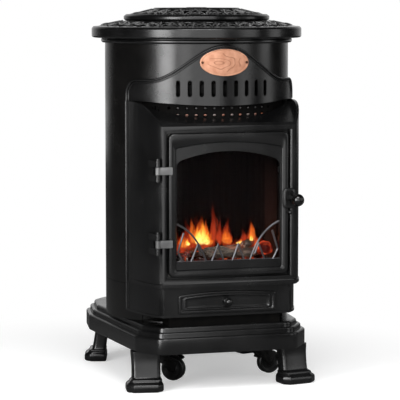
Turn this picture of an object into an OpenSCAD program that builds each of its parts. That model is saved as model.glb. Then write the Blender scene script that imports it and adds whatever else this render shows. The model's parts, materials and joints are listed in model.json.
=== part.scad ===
// A free-standing heating stove in the shape of an old potbelly stove.
// A round sheet-steel cabinet stands on a cast plinth with four feet. A cast front carries
// the glazed door, and a fuel-effect gas fire burns behind it. The gas bottle stands in the
// cabinet behind the fire. Millimetres; the front faces -Y; the floor is z = 0.

/* [Cabinet] */
// Outer radius of the round sheet-steel cabinet
shell_r = 190.5; // [186:0.5:194]
// Thickness of the cabinet's sheet
shell_t = 1.5; // [1.2:0.1:2]
// Height above the floor of the moulding under the top casting
neck_z = 695; // [690:1:705]
// Height above the floor of the seam round the lower band of the cabinet
seam_z = 206; // [198:1:211]
// Half of the angle that the rear door covers
rear_half_deg = 54; // [50:1:56]
// Distance from the cabinet's axis to the sheet wall behind the fire
bulkhead_y = 112; // [108:1:116]

/* [Top] */
// How far the moulding under the top casting stands out from the cabinet
neck_proud = 8.1; // [6:0.1:11]
// Height of that moulding
neck_h = 10; // [8:1:12]
// How far the top casting stands out from the cabinet
ring_proud = 27.5; // [25:0.5:31]
// Height of the top casting's outer wall
ring_h = 22; // [20:1:25]
// Height that the top casting's fretwork rises from its wall to the lid
crown_rise = 12; // [10:1:14]
// Outer radius of the domed lid
lid_r = 151.5; // [148:0.5:155]
// Height of the domed lid
lid_h = 28; // [26:1:32]
// Number of pierced slots round the top casting and round the lid
pierced_count = 24; // [18:1:28]

/* [Front] */
// How far the front casting's face stands in front of the cabinet
front_proud = 37.5; // [35:0.5:41]
// Width of the front casting's face at each side of the door
pilaster_w = 13.5; // [12:0.5:16]
// Angle from the front at which the cheeks meet the cabinet
cheek_deg = 63.5; // [62:0.5:65]
// How far the cheeks bulge out past the corner of the face
cheek_bulge = 28; // [24:1:30]
// Wall thickness of the castings
casting_t = 5; // [4:0.5:6]
// Height above the floor of the moulding between the two front castings
mid_z = 218; // [215:1:221]
// Height of that moulding
mid_h = 11; // [9:1:13]
// Rise of the shoulder above the front edge, for each millimetre of depth
shoulder_slope = 0.34; // [0.33:0.01:0.4]
// Depth behind the face over which the cheeks' upper edge rises to the hood
cheek_sweep = 118; // [110:1:126]
// How far the lower casting stands back from the front face
low_setback = 14; // [12:1:16]
// Height above the floor of the lower casting's bottom edge
low_z = 152; // [150:1:155]

/* [Door] */
// Width of the door
door_w = 249; // [244:1:250]
// Height of the door
door_h = 286; // [280:1:292]
// Thickness of the door's casting
door_t = 12; // [11:0.5:13]
// Width of the door's stiles beside the window
stile_w = 17; // [15:1:19]
// Height of the window's sill above the door's lower edge
sill_h = 30; // [27:1:33]
// Height of the window's arched head below the door's upper edge
head_h = 37; // [34:1:42]
// Rise of the window's arch
arch_rise = 20; // [16:1:24]
// Thickness of the window glass
glass_t = 4; // [3:0.5:4]
// Height of the latch knob above the door's lower edge
latch_h = 152; // [140:1:165]
// Radius of the latch knob's ball
knob_r = 12.5; // [11:0.5:14]
// Distance from the door's face to the middle of the latch knob
knob_reach = 41; // [36:1:44]
// Radius of the hinge pins
pin_r = 2.5; // [2:0.25:3]
// Height of each hinge strap
strap_h = 15; // [12:1:18]
// Height above the door's lower edge of the lower hinge
hinge_low = 68; // [60:1:76]
// Height above the door's lower edge of the upper hinge
hinge_high = 213; // [205:1:222]

/* [Hood] */
// How far the hood's band stands out from the cabinet
hood_proud = 9; // [8:0.5:10]
// Thickness of the hood's band
hood_t = 3; // [2.5:0.5:4]
// Half of the angle that the hood covers
hood_half_deg = 62; // [61:0.5:63]
// Height of the hood's lower edge at its ends above the front casting's edge
hood_low = 46; // [43:1:49]
// How far the middle of the hood's lower edge hangs below its ends
hood_dip = 8; // [5:1:10]
// Height of the hood at its ends
hood_end_h = 44; // [41:1:46]
// Rise of the hood's wave above its ends
wave_rise = 69; // [64:1:70]
// Number of slots in the hood
slot_count = 9; // [7:2:11]
// Angle between neighbouring slots
slot_pitch = 6.8; // [6:0.1:7.5]
// Width of a hood slot
slot_w = 9; // [7:0.5:10]
// Length of a hood slot
slot_h = 33; // [29:1:35]
// Width of the oval plate on the hood
badge_w = 101; // [94:1:104]
// Height of the oval plate on the hood
badge_h = 54; // [50:1:56]

/* [Drawer] */
// Width of the drawer's front
drawer_w = 204; // [196:1:208]
// Height of the drawer's front
drawer_h = 44; // [40:1:45]
// Depth of the drawer's tray
tray_d = 86; // [78:1:88]
// Radius of the drawer's ball knob
drawer_knob_r = 8; // [6.5:0.5:9]

/* [Base] */
// Overall width of the plinth
base_w = 408; // [402:2:414]
// Distance from the axis to the plinth's widest place, towards the back
base_wide_y = 120; // [110:2:130]
// Distance from the axis to the plinth's front edge
base_front_y = 231; // [228:1:235]
// Distance from the axis to the plinth's back edge
base_back_y = 250; // [246:1:254]
// Width of the plinth's straight front edge
base_front_w = 284; // [276:2:292]
// Distance from the axis to the plinth's front corners, across
corner_x = 180; // [177:1:183]
// Distance from the axis to the plinth's front corners, front to back
corner_y = 176; // [173:1:179]
// Distance from the axis to the plinth's rear corners, across
back_corner_x = 190; // [187:1:193]
// Distance from the axis to the plinth's rear corners, front to back
back_corner_y = 205; // [202:1:208]
// Width of the plinth's straight back edge
base_back_w = 300; // [292:2:308]
// Height of the plinth's underside above the floor
leg_h = 80; // [78:1:84]
// Height of the plinth's lip
lip_h = 33; // [30:1:35]
// Height of each of the two steps above the lip
step_h = 10; // [9:0.5:11]
// How far each step stands back from the one below
step_in = 8.5; // [7.5:0.5:9.5]
// Width of a foot
foot_w = 68; // [64:1:70]
// How far a foot's toe stands out beyond its leg
toe = 18; // [15:1:20]
// Thickness of a leg from its inner to its outer face
leg_t = 28; // [26:1:30]
// How far the front legs turn outwards from facing forwards
leg_turn = 10; // [7:1:13]
// How far the rear legs turn round from facing forwards
back_leg_turn = 106; // [102:1:110]
// Height of the foot block under each leg
foot_h = 20; // [18:1:22]

/* [Castors] */
// Radius of the castor wheels
wheel_r = 26; // [24:0.5:27]
// Width of the castor wheels
wheel_w = 16; // [14:1:18]
// Clearance between the castor wheels and the floor while the stove stands on its feet
wheel_lift = 3; // [2:0.5:4]
// Distance from a castor's swivel axis to its wheel's axle
trail = 30; // [27:1:32]
// Distance from the middle to the front castors' swivel axes, across
castor_x = 104; // [102:1:106]
// Distance from the middle to the front castors' swivel axes, forwards
castor_y = 84; // [80:1:86]
// Distance from the middle to the rear castors' swivel axes, across
back_castor_x = 92; // [90:1:93]
// Distance from the middle to the rear castors' swivel axes, backwards
back_castor_y = 150; // [146:1:151]

/* [Fire] */
// Inside width of the firebox
firebox_w = 236; // [230:1:238]
// Height of the firebox
firebox_h = 300; // [290:1:305]
// Thickness of the fluted fibre lining
liner_t = 8; // [7:0.5:10]
// Height of the fuel bed above the firebox floor
bed_h = 44; // [38:1:50]

/* [Hidden] */
$fn = 96;

IRON = [0.10, 0.10, 0.11];
STEEL = [0.13, 0.13, 0.14];
BRIGHT = [0.62, 0.62, 0.64];

// Clearances: between a curved piece and its seat, between bodies, and round a pin
seat = 0.2;
gap = 0.3;
run = 0.05;
cut = 1;

// Radii, depth and width that follow from the cabinet and the door
neck_r = shell_r + neck_proud;
ring_r = shell_r + ring_proud;
front_y = shell_r + front_proud;
front_half_w = door_w / 2 + pilaster_w;

// Heights that follow from the driving sizes
lip_top = leg_h + lip_h;
plinth_top = lip_top + 2 * step_h;
low_top = mid_z - mid_h / 2;
mid_top = mid_z + mid_h / 2;
door_margin = 11;
door_z = mid_top + door_margin;
door_top = door_z + door_h;
edge_h = 14;
edge_z = door_top + edge_h;
edge_bar = 9;
hood_end_z = edge_z + hood_low;
wave_z = hood_end_z + hood_end_h;
ring_z = neck_z + neck_h;
ring_top = ring_z + ring_h;
crown_z = ring_top + crown_rise;
lid_z = crown_z + gap;

// Depths of the front, measured forwards from the cabinet's axis
door_face = front_y + 1;
door_back = door_face - door_t;
stop_face = door_back - 2.5;
stop_back = stop_face - casting_t;
low_face = front_y - low_setback;
strap_t = 5;
pin_y = door_face + strap_t / 2 + 0.5;
pin_x = front_half_w + 10.5;
knuckle_r = pin_r + 2.5;
lug_t = 6;
knob_y = door_face + knob_reach;
knob_x = door_w / 2 + 5.5;
knob_z = door_z + latch_h;

// The model stands in the middle of its own box, so the cabinet's axis lies behind the middle
front_reach = knob_y + knob_r;
axis_y = (front_reach - base_back_y) / 2;

module in_place() {
    translate([0, axis_y, 0]) children();
}

// ---- Outlines ------------------------------------------------------------------------

function unit(v) = v / norm(v);
function flip_x(points) = [for (i = [len(points) - 1 : -1 : 0]) [-points[i][0], points[i][1]]];
function meet(p, u, q, v) = p + u * cross(q - p, v) / cross(u, v);
function side_shift(a, b, d) = a + d * [a[1] - b[1], b[0] - a[0]] / norm(b - a);

// The outline drawn in by d; its points run anticlockwise
function inset(points, d) = [
    for (i = [0 : len(points) - 1])
        let (a = points[(i + len(points) - 1) % len(points)], b = points[i],
            c = points[(i + 1) % len(points)])
            meet(side_shift(a, b, d), b - a, side_shift(b, c, d), c - b)
];

// One corner b between a and c, rounded to radius r in n steps
function corner(a, b, c, r, n) =
    let (u = unit(a - b), v = unit(c - b), half = acos(u * v) / 2)
    let (m = b + unit(u + v) * r / sin(half), p = b + u * r / tan(half) - m, q = b + v * r / tan(half) - m)
    let (start = atan2(p[1], p[0]), turn = atan2(cross(p, q), p * q))
        [for (i = [0 : n]) m + r * [cos(start + turn * i / n), sin(start + turn * i / n)]];

function rounded(points, r, n = 6) = [
    for (i = [0 : len(points) - 1])
        each corner(points[(i + len(points) - 1) % len(points)], points[i],
            points[(i + 1) % len(points)], r, n)
];

function bezier(a, c, b, n) = [
    for (i = [0 : n]) let (t = i / n) a * (1 - t) * (1 - t) + c * 2 * t * (1 - t) + b * t * t
];

function ellipse(w, h, n) = [for (i = [0 : n - 1]) [cos(360 * i / n) * w / 2, sin(360 * i / n) * h / 2]];

// A rectangle with an arched head: foot width w, spring line height s, rise of the arch
function arched(w, s, rise, n = 16) = concat(
    [[-w / 2, 0], [w / 2, 0]],
    [for (i = [0 : n]) let (x = 1 - 2 * i / n) [x * w / 2, s + rise * (1 - x * x)]]
);

// The plinth's outline, drawn in by d; it is widest behind the axis
base_right = [
    [base_front_w / 2, -base_front_y],
    [corner_x, -corner_y],
    [base_w / 2, base_wide_y],
    [back_corner_x, back_corner_y],
    [base_back_w / 2, base_back_y]
];
function base_plan(d) = rounded(inset(concat(base_right, flip_x(base_right)), d), 26);

// The outline of a front casting: a face of half width w at distance y in front of the axis,
// cheeks that bulge out and meet the cabinet, and a straight back inside the cabinet
cheek_r = shell_r + casting_t;
cheek_end = [cheek_r * sin(cheek_deg), -cheek_r * cos(cheek_deg)];
bulge_drop = 20;
function front_plan(w, y) =
    let (side = bezier([w, -y], [w + cheek_bulge, -y + bulge_drop], cheek_end, 10))
        concat(side, flip_x(side));
function front_plan_in(w, y, d) = inset(front_plan(w, y), d);

module slab(z0, z1) {
    translate([0, 0, z0]) linear_extrude(z1 - z0) children();
}

// A flat shape drawn in x and z, given thickness from y0 back to y1 (distances in front of the axis)
module upright(y0, y1) {
    translate([0, -y1, 0]) rotate([90, 0, 0]) linear_extrude(y0 - y1) children();
}

module tube(r_out, r_in, z0, z1) {
    translate([0, 0, z0]) difference() {
        cylinder(r = r_out, h = z1 - z0);
        translate([0, 0, -cut]) cylinder(r = r_in, h = z1 - z0 + 2 * cut);
    }
}

// A wedge that covers half_deg to each side of the direction at angle mid_deg
module wedge(mid_deg, half_deg, r, z0, z1) {
    rotate([0, 0, mid_deg]) slab(z0, z1) polygon(concat(
        [[0, 0]],
        [for (i = [-4 : 4]) 1.4 * r * [cos(half_deg * i / 4), sin(half_deg * i / 4)]]
    ));
}

// A round bar between two points
module bar(a, b, r) {
    v = b - a;
    translate(a) rotate([0, acos(v[2] / norm(v)), atan2(v[1], v[0])])
        cylinder(r = r, h = norm(v), $fn = 32);
}

// Something placed on the cabinet at an angle from the front, its own -Y facing outwards
module at_front_angle(deg) {
    rotate([0, 0, deg]) children();
}

// ---- Base ----------------------------------------------------------------------------

leg_x = corner_x - 25;
leg_y = corner_y - 15;
back_leg_x = back_corner_x - 36;
back_leg_y = back_corner_y - 7;
leg_place = [
    [-leg_x, -leg_y, -leg_turn], [leg_x, -leg_y, leg_turn],
    [-back_leg_x, back_leg_y, -back_leg_turn], [back_leg_x, back_leg_y, back_leg_turn]
];
castor_place = [
    [-castor_x, -castor_y, -36], [castor_x, -castor_y, 10],
    [-back_castor_x, back_castor_y, 76], [back_castor_x, back_castor_y, 104]
];
boss_r = 19;
boss_h = 22;
bolt_r = 4;
deck_t = 5;
deck_hole_r = 92;
socket_r = 9;
stem_r = 5;
kick_in = 14;

// Something placed at a leg or a castor, its own -Y facing the way that the leg faces
module at_place(place) {
    translate([place[0], place[1], 0]) rotate([0, 0, place[2]]) children();
}

module leg_boss() {
    cylinder(r = boss_r, h = leg_h + boss_h);
    translate([-boss_r, -2 * boss_r, 0]) cube([2 * boss_r, 2 * boss_r, leg_h + boss_h]);
}

module base_plinth() {
    color(IRON) in_place() difference() {
        union() {
            slab(leg_h, leg_h + 3) polygon(base_plan(2));
            slab(leg_h + 3, lip_top - 3) polygon(base_plan(0));
            slab(lip_top - 3, lip_top) polygon(base_plan(2));
            slab(lip_top, lip_top + step_h - 2) polygon(base_plan(step_in));
            slab(lip_top + step_h - 2, lip_top + step_h) polygon(base_plan(step_in + 1.5));
            slab(lip_top + step_h, plinth_top) polygon(base_plan(2 * step_in));
        }
        difference() {
            union() {
                slab(leg_h - cut, lip_top - deck_t) polygon(base_plan(casting_t + 2));
                slab(lip_top - deck_t - cut, plinth_top - deck_t)
                    polygon(base_plan(2 * step_in + casting_t));
            }
            for (place = leg_place) at_place(place) leg_boss();
            for (place = castor_place) at_place(place) cylinder(r = socket_r + 6, h = plinth_top);
        }
        cylinder(r = deck_hole_r, h = low_z);
        for (place = leg_place) at_place(place)
            cylinder(r = bolt_r + seat, h = leg_h + boss_h + cut, $fn = 32);
        for (place = castor_place) at_place(place) cylinder(r = socket_r + seat, h = plinth_top - deck_t);
    }
}

// The recessed panel that stands on the plinth under the lower casting
module kick_panel() {
    half = front_half_w - 7 - kick_in;
    front = low_face - kick_in;
    color(IRON) in_place() difference() {
        translate([-half, -front, plinth_top])
            cube([2 * half, front - bulkhead_y, low_z - plinth_top]);
        translate([-half + casting_t, -front + casting_t, plinth_top - cut])
            cube([2 * (half - casting_t), front, low_z]);
        translate([0, 0, plinth_top - cut]) cylinder(r = shell_r + seat, h = low_z);
    }
}

// One leg: a broad column that leans outwards, an instep bead, and a foot block with its toe outwards
splay = 8;
bead_h = 6;
leg_corner_r = 8;
flare_h = 14;

// A level slice of a leg, w wide, reaching inner behind and outer in front of the leg's own axis
module leg_section(z, w, inner, outer) {
    translate([0, 0, z]) linear_extrude(0.01)
        polygon(rounded([[-w / 2, -outer], [w / 2, -outer], [w / 2, inner], [-w / 2, inner]],
            leg_corner_r, 4));
}

module leg(i) {
    column_w = foot_w - 8;
    half = leg_t / 2;
    toe_end = half + splay + toe;
    ankle = foot_h + bead_h;
    color(IRON) in_place() at_place(leg_place[i]) difference() {
        union() {
            hull() {
                leg_section(0, foot_w - 4, half - splay, toe_end - 4);
                leg_section(5, foot_w, half - splay + 2, toe_end);
                leg_section(foot_h - 8, foot_w, half - splay + 2, toe_end);
                leg_section(foot_h - 0.01, foot_w - 6, half - splay, toe_end - 9);
            }
            hull() {
                leg_section(foot_h - cut, column_w, half - splay, half + splay + 4);
                leg_section(foot_h + 2, column_w + 2, half - splay + 1, half + splay + 5);
                leg_section(ankle - 0.01, column_w - 1, half - splay, half + splay + 1);
            }
            hull() {
                leg_section(ankle - cut, column_w - 2, half - splay, half + splay);
                leg_section(leg_h - flare_h, column_w - 1, half - 1, half + 2);
            }
            hull() {
                leg_section(leg_h - flare_h - cut, column_w - 1, half - 1, half + 2);
                leg_section(leg_h - 0.01, column_w + 4, half + 3, half + 2);
            }
        }
        translate([0, 0, leg_h - boss_h]) cylinder(r = bolt_r + seat, h = boss_h + cut, $fn = 32);
    }
}
module leg_front_left() { leg(0); }
module leg_front_right() { leg(1); }
module leg_rear_left() { leg(2); }
module leg_rear_right() { leg(3); }

// The bolts that hold the legs, and the sockets in which the castors' stems turn
module plinth_fittings() {
    color(BRIGHT) in_place() {
        for (place = leg_place) at_place(place) {
            translate([0, 0, leg_h - boss_h + 2])
                cylinder(r = bolt_r, h = 2 * boss_h - 2 + seat, $fn = 32);
            translate([0, 0, leg_h + boss_h]) cylinder(r = 1.7 * bolt_r, h = 5, $fn = 6);
        }
        for (place = castor_place) at_place(place) {
            tube(socket_r, stem_r + run, leg_h - 2, plinth_top - deck_t - seat);
            tube(socket_r + 9, socket_r - 1, leg_h - 2, leg_h);
        }
    }
}

// Floor of the cabinet, with a raised seat for the gas bottle
bottle_y = 36;
bottle_seat_r = 140;
bottle_seat_h = 2;

module floor_pan() {
    color(STEEL) in_place() difference() {
        union() {
            translate([0, 0, plinth_top]) cylinder(r = shell_r - shell_t - gap, h = shell_t);
            translate([0, bottle_y, plinth_top]) cylinder(r = bottle_seat_r, h = shell_t + bottle_seat_h);
        }
        for (a = [0 : 60 : 300]) rotate([0, 0, a]) translate([60, 0, plinth_top - cut])
            cylinder(r = 9, h = 10);
    }
}

// ---- Castors -------------------------------------------------------------------------

axle_z = wheel_r + wheel_lift;
axle_r = 3;
fork_w = wheel_w + 7;
fork_t = 2.5;
hood_r = wheel_r + 5;
crown_z0 = axle_z + hood_r;

module at_castor(i) {
    in_place() at_place(castor_place[i]) children();
}

module castor_fork(i) {
    color(BRIGHT) at_castor(i) {
        translate([0, 0, crown_z0]) cylinder(r = stem_r, h = plinth_top - deck_t - crown_z0 - 3, $fn = 48);
        tube(socket_r + 6, stem_r - 1, crown_z0 - 5, leg_h - 2 - gap);
        for (s = [-1, 1]) translate([0, s * (fork_w - fork_t) / 2, 0]) rotate([90, 0, 0]) {
            translate([0, 0, -fork_t / 2]) linear_extrude(fork_t) polygon([
                [-9, crown_z0 - 5], [-9, crown_z0], [14, crown_z0], [trail + 12, axle_z + 18],
                [trail + 6, axle_z - 5], [trail - 6, axle_z - 5]
            ]);
            translate([trail, axle_z, -fork_t / 2]) cylinder(r = 7.5, h = fork_t, $fn = 48);
        }
        intersection() {
            translate([trail, fork_w / 2, axle_z]) rotate([90, 0, 0])
                tube(hood_r, hood_r - fork_t, 0, fork_w);
            translate([-6, -fork_w / 2, axle_z + 10]) cube([trail + 26, fork_w, hood_r]);
        }
        translate([trail, fork_w / 2 + 2, axle_z]) rotate([90, 0, 0])
            cylinder(r = axle_r, h = fork_w + 4, $fn = 48);
    }
}
module castor_fork_1() { castor_fork(0); }
module castor_fork_2() { castor_fork(1); }
module castor_fork_3() { castor_fork(2); }
module castor_fork_4() { castor_fork(3); }

module castor_wheel(i) {
    color([0.06, 0.06, 0.06]) at_castor(i) translate([trail, wheel_w / 2, axle_z]) rotate([90, 0, 0]) {
        rotate_extrude() polygon([
            [axle_r + run, 0], [8, 0], [9, 2], [wheel_r - 7, 2], [wheel_r - 5, 0], [wheel_r - 2, 0],
                [wheel_r, 3],
            [wheel_r, wheel_w - 3], [wheel_r - 2, wheel_w], [wheel_r - 5, wheel_w],
                [wheel_r - 7, wheel_w - 2],
            [9, wheel_w - 2], [8, wheel_w], [axle_r + run, wheel_w]
        ]);
    }
}
module castor_wheel_1() { castor_wheel(0); }
module castor_wheel_2() { castor_wheel(1); }
module castor_wheel_3() { castor_wheel(2); }
module castor_wheel_4() { castor_wheel(3); }

// ---- Cabinet -------------------------------------------------------------------------

front_gap_x = 150;
slot_gap_x = 125;
seam_gap = 0.6;
rear_gap = 1;
rear_door_z = plinth_top + 4;
rear_door_top = neck_z - 6;
shell_top = neck_z + neck_h - 2;

// The parts of the cabinet's wall that are open: behind the front castings and at the rear door
module shell_openings() {
    translate([-front_gap_x, -shell_r - cut, plinth_top - cut])
        cube([2 * front_gap_x, shell_r, hood_end_z + 4 - plinth_top]);
    translate([-slot_gap_x, -shell_r - cut, edge_z])
        cube([2 * slot_gap_x, shell_r, slot_z + slot_h / 2 + 4 - edge_z]);
    wedge(90, rear_half_deg + 0.3, shell_r, plinth_top - cut, rear_door_top + rear_gap);
}

module lower_shell() {
    color(STEEL) in_place() difference() {
        tube(shell_r, shell_r - shell_t, plinth_top, seam_z);
        shell_openings();
    }
}

module upper_shell() {
    color(STEEL) in_place() difference() {
        tube(shell_r, shell_r - shell_t, seam_z + seam_gap, shell_top);
        shell_openings();
    }
}

module neck_ring() {
    color(IRON) in_place() translate([0, 0, neck_z]) rotate_extrude() polygon([
        [shell_r + seat, 0], [neck_r - 2.5, 0], [neck_r, 2.5], [neck_r, neck_h - 4],
        [neck_r - 2, neck_h - 2], [neck_r - 2, neck_h], [shell_r + seat, neck_h]
    ]);
}

crown_in = lid_r - 3.5;
crown_out = ring_r - 13;
flange_in = shell_r - 4;
crown_t = 6;

module top_ring() {
    color(IRON) in_place() difference() {
        translate([0, 0, ring_z]) rotate_extrude() polygon([
            [flange_in, 0], [ring_r - 4, 0], [ring_r, 4], [ring_r, ring_h - 4],
                [ring_r - 1.5, ring_h - 1.5],
            [ring_r - 5, ring_h], [crown_out, ring_h + 1], [crown_in + 5, ring_h + crown_rise],
            [crown_in, ring_h + crown_rise], [crown_in, ring_h + crown_rise - crown_t],
            [crown_out - 5, ring_h - 5], [ring_r - casting_t - 6, ring_h - 8],
            [ring_r - casting_t - 6, casting_t + 1], [flange_in, casting_t + 1]
        ]);
        for (i = [0 : pierced_count - 1]) rotate([0, 0, 360 * (i + 0.5) / pierced_count])
            translate([crown_in + 9, -6, ring_z + casting_t + 2]) cube([crown_out - crown_in - 17, 12, 60]);
    }
}

deck_z = ring_z + casting_t + 1;
deck_plate_t = 2;
deck_r = ring_r - casting_t - 7;
control_x = -62;
control_y = 62;
button_x = 62;
button_r = 8;
spindle_r = 4;

module control_deck() {
    color(STEEL) in_place() difference() {
        translate([0, 0, deck_z]) cylinder(r = deck_r, h = deck_plate_t);
        translate([control_x, -control_y, deck_z - cut]) cylinder(r = spindle_r + 2, h = 10);
        translate([button_x, -control_y, deck_z - cut]) cylinder(r = button_r + gap, h = 10);
        for (i = [0 : 6]) translate([-63 + 18 * i, 20, deck_z - cut]) cube([6, 90, 10]);
    }
}

bulkhead_half = 147;
bulkhead_top = edge_z + 76;

module bulkhead() {
    color(STEEL) in_place() difference() {
        translate([-bulkhead_half, -bulkhead_y, plinth_top + shell_t])
            cube([2 * bulkhead_half, shell_t, bulkhead_top - plinth_top - shell_t]);
        translate([pipe_x, -bulkhead_y + 5, pipe_low_z]) rotate([90, 0, 0])
            cylinder(r = pipe_r + 2, h = 10);
    }
}

// Sheet that turns the rising warm air forwards, out through the hood
module heat_baffle() {
    rise = 44;
    color(STEEL) in_place() intersection() {
        translate([-bulkhead_half - 3, 0, 0]) rotate([90, 0, 90]) linear_extrude(2 * bulkhead_half + 6)
            polygon([
            [-bulkhead_y, bulkhead_top], [-bulkhead_y + shell_t, bulkhead_top],
            [-bulkhead_y + shell_t, bulkhead_top + 1],
            [-shell_r, bulkhead_top + rise + 2], [-shell_r, bulkhead_top + rise]
        ]);
        cylinder(r = shell_r - shell_t - seat, h = neck_z);
    }
}

// ---- Front castings ------------------------------------------------------------------

stop_in = 5.5;
stop_half_w = door_w / 2 - stop_in;
pilaster_r = 5;
pilaster_x = front_half_w - pilaster_r;
rim_r = 3.2;
aperture_w = drawer_w - 8;
drawer_z = low_z + 7;
latch_half = 12;

// A wall that follows the front outline, open at the back where it meets the cabinet
module front_wall(w, y, t, z0, z1) {
    difference() {
        slab(z0, z1) polygon(front_plan(w, y));
        slab(z0 - cut, z1 + cut) polygon(front_plan_in(w, y, t));
        slab(z0 - cut, z1 + cut) translate([-shell_r, cheek_end[1]]) square([2 * shell_r, shell_r]);
        translate([0, 0, z0 - cut]) cylinder(r = shell_r + seat, h = z1 - z0 + 2 * cut);
    }
}

module cheek_rims(z0, z1) {
    for (s = [-1, 1]) translate([s * (cheek_end[0] + 0.5), cheek_end[1] - rim_r, z0])
        cylinder(r = rim_r, h = z1 - z0, $fn = 32);
}

module lower_casting() {
    color(IRON) in_place() difference() {
        union() {
            front_wall(front_half_w - 7, low_face, casting_t, low_z, low_top);
            front_wall(front_half_w - 5.5, low_face + 1.5, casting_t + 1.5, low_z + 1, low_z + 5);
            difference() {
                cheek_rims(low_z + 4, low_top);
                translate([0, 0, low_z]) cylinder(r = shell_r + seat, h = low_top);
            }
        }
        upright(low_face + 10, low_face - 20) translate([0, drawer_z + 3])
            polygon(arched(aperture_w, drawer_h - 12, 4));
    }
}

// The shoulder's upper surface at a distance y in front of the axis
function shoulder_z(y) = edge_z + shoulder_slope * (front_y - y);
cheek_top = hood_end_z - 1;

// Height of the cheeks' upper edge at a distance d behind the face: steep at first, then level
function cheek_z(d) = edge_z + (cheek_top - edge_z) * (1 - pow(1 - d / cheek_sweep, 3));

module cheek_top_cut() {
    translate([-2 * front_half_w, 0, 0]) rotate([90, 0, 90]) linear_extrude(4 * front_half_w)
        polygon(concat(
            [[-front_y - 20, edge_z]],
            [for (i = [0 : 16]) let (d = cheek_sweep * i / 16) [-front_y + d, cheek_z(d)]],
            [[0, cheek_top], [0, cheek_top + hood_low], [-front_y - 20, cheek_top + hood_low]]
        ));
}

module front_casting() {
    color(IRON) in_place() difference() {
        union() {
            difference() {
                front_wall(front_half_w, front_y, casting_t, mid_top, cheek_top + cut);
                cheek_top_cut();
                translate([-pilaster_x, -front_y - cut, mid_top])
                    cube([2 * pilaster_x, front_y - stop_face + cut, edge_z - mid_top]);
            }
            front_wall(front_half_w - 1, front_y + 1, casting_t + 3, low_top, low_top + 2.5);
            front_wall(front_half_w + 1.5, front_y + 2.5, casting_t + 4, low_top + 2.5, mid_top - 2.5);
            front_wall(front_half_w - 1, front_y + 1, casting_t + 3, mid_top - 2.5, mid_top);
            translate([-pilaster_x, -front_y, mid_top - 2])
                cube([2 * pilaster_x, front_y - stop_back, door_margin - 2]);
            translate([-pilaster_x, -stop_face, mid_top - 2])
                cube([2 * pilaster_x, casting_t, edge_z - mid_top + 2]);
            translate([-pilaster_x, -front_y, edge_z - edge_bar])
                cube([2 * pilaster_x, front_y - stop_back, edge_bar]);
            for (s = [-1, 1]) translate([s * pilaster_x, -front_y + pilaster_r, mid_top - 2])
                cylinder(r = pilaster_r, h = edge_z - mid_top + 2, $fn = 48);
            difference() {
                cheek_rims(low_top, hood_end_z - 0.1);
                translate([0, 0, low_top - cut]) cylinder(r = shell_r + seat, h = edge_z);
            }
        }
        upright(front_y + 20, stop_back - 20) translate([0, door_z + stop_in])
            polygon([[-stop_half_w, 0], [stop_half_w, 0], [stop_half_w, door_h - 2 * stop_in],
                [-stop_half_w, door_h - 2 * stop_in]]);
        translate([knob_x - 7, -front_y - cut, knob_z - latch_half])
            cube([14, front_y - stop_face + cut, 2 * latch_half]);
    }
}

// Sloping top of the front casting, from its front edge back to the outlet grille
module shoulder_plate() {
    end_y = max(front_y - (cheek_top - edge_z) / shoulder_slope, 4 - cheek_end[1]);
    end_z = shoulder_z(end_y);
    color(IRON) in_place() difference() {
        intersection() {
            translate([-2 * front_half_w, 0, 0]) rotate([90, 0, 90]) linear_extrude(4 * front_half_w)
                polygon([
                [-front_y, edge_z], [-end_y, end_z],
                [cheek_end[1], end_z], [cheek_end[1], end_z - casting_t],
                [2 - end_y, end_z - casting_t],
                    [-stop_back, edge_z + 4],
                [-stop_back, edge_z]
            ]);
            slab(edge_z - cut, cheek_top + cut)
                polygon(front_plan_in(front_half_w, front_y, casting_t + 0.01));
        }
        translate([0, 0, edge_z - cut]) cylinder(r = shell_r + seat, h = cheek_top);
    }
}

grille_pitch = 5.6;
grille_r = shell_r - 2;

module outlet_grille() {
    z0 = edge_z + 10;
    rows = [[9, 8], [23, 6]];
    color(STEEL) in_place() difference() {
        intersection() {
            tube(grille_r, grille_r - 2, z0, hood_end_z + 4);
            translate([-front_gap_x + gap, -shell_r, 0]) cube([2 * (front_gap_x - gap), shell_r, neck_z]);
        }
        for (row = rows) for (i = [-6 : 6]) at_front_angle(i * grille_pitch)
            translate([-3.5, -shell_r, z0 + row[0] - row[1] / 2]) cube([7, 12, row[1]]);
        for (s = [-1, 1]) for (i = [0 : 2]) at_front_angle(s * (7.2 * grille_pitch + 2.2 * i))
            translate([-1.5, -shell_r, z0 + 4]) cube([3, 12, 22]);
    }
}

// ---- Hood ----------------------------------------------------------------------------

band_r = shell_r + hood_proud;
wave_half_deg = 45;
end_round_deg = 8;
end_round_h = 34;
rim_w = 5;
slot_z = edge_z + 72;

function wave(deg) =
    abs(deg) < wave_half_deg ? wave_z + wave_rise * (1 + cos(180 * deg / wave_half_deg)) / 2
    : abs(deg) < hood_half_deg - end_round_deg ? wave_z
    : wave_z - end_round_h * (1 - sqrt(max(0,
        1 - pow((abs(deg) - hood_half_deg + end_round_deg) / end_round_deg, 2))));
function low_edge(deg) = hood_end_z - hood_dip * (1 + cos(180 * deg / hood_half_deg)) / 2;
function across(deg) = band_r * sin(deg);

// The hood's outline seen from the front, its wave lowered by d
function hood_plan(d) = concat(
    [for (i = [-20 : 20]) let (a = hood_half_deg * i / 20) [across(a), low_edge(a)]],
    [for (i = [40 : -1 : -40]) let (a = hood_half_deg * i / 40) [across(a), wave(a) - d]]
);

module hood_ring(r_out, r_in) {
    intersection() {
        tube(r_out, r_in, edge_z, neck_z);
        upright(band_r + 20, 0) children();
    }
}

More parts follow.
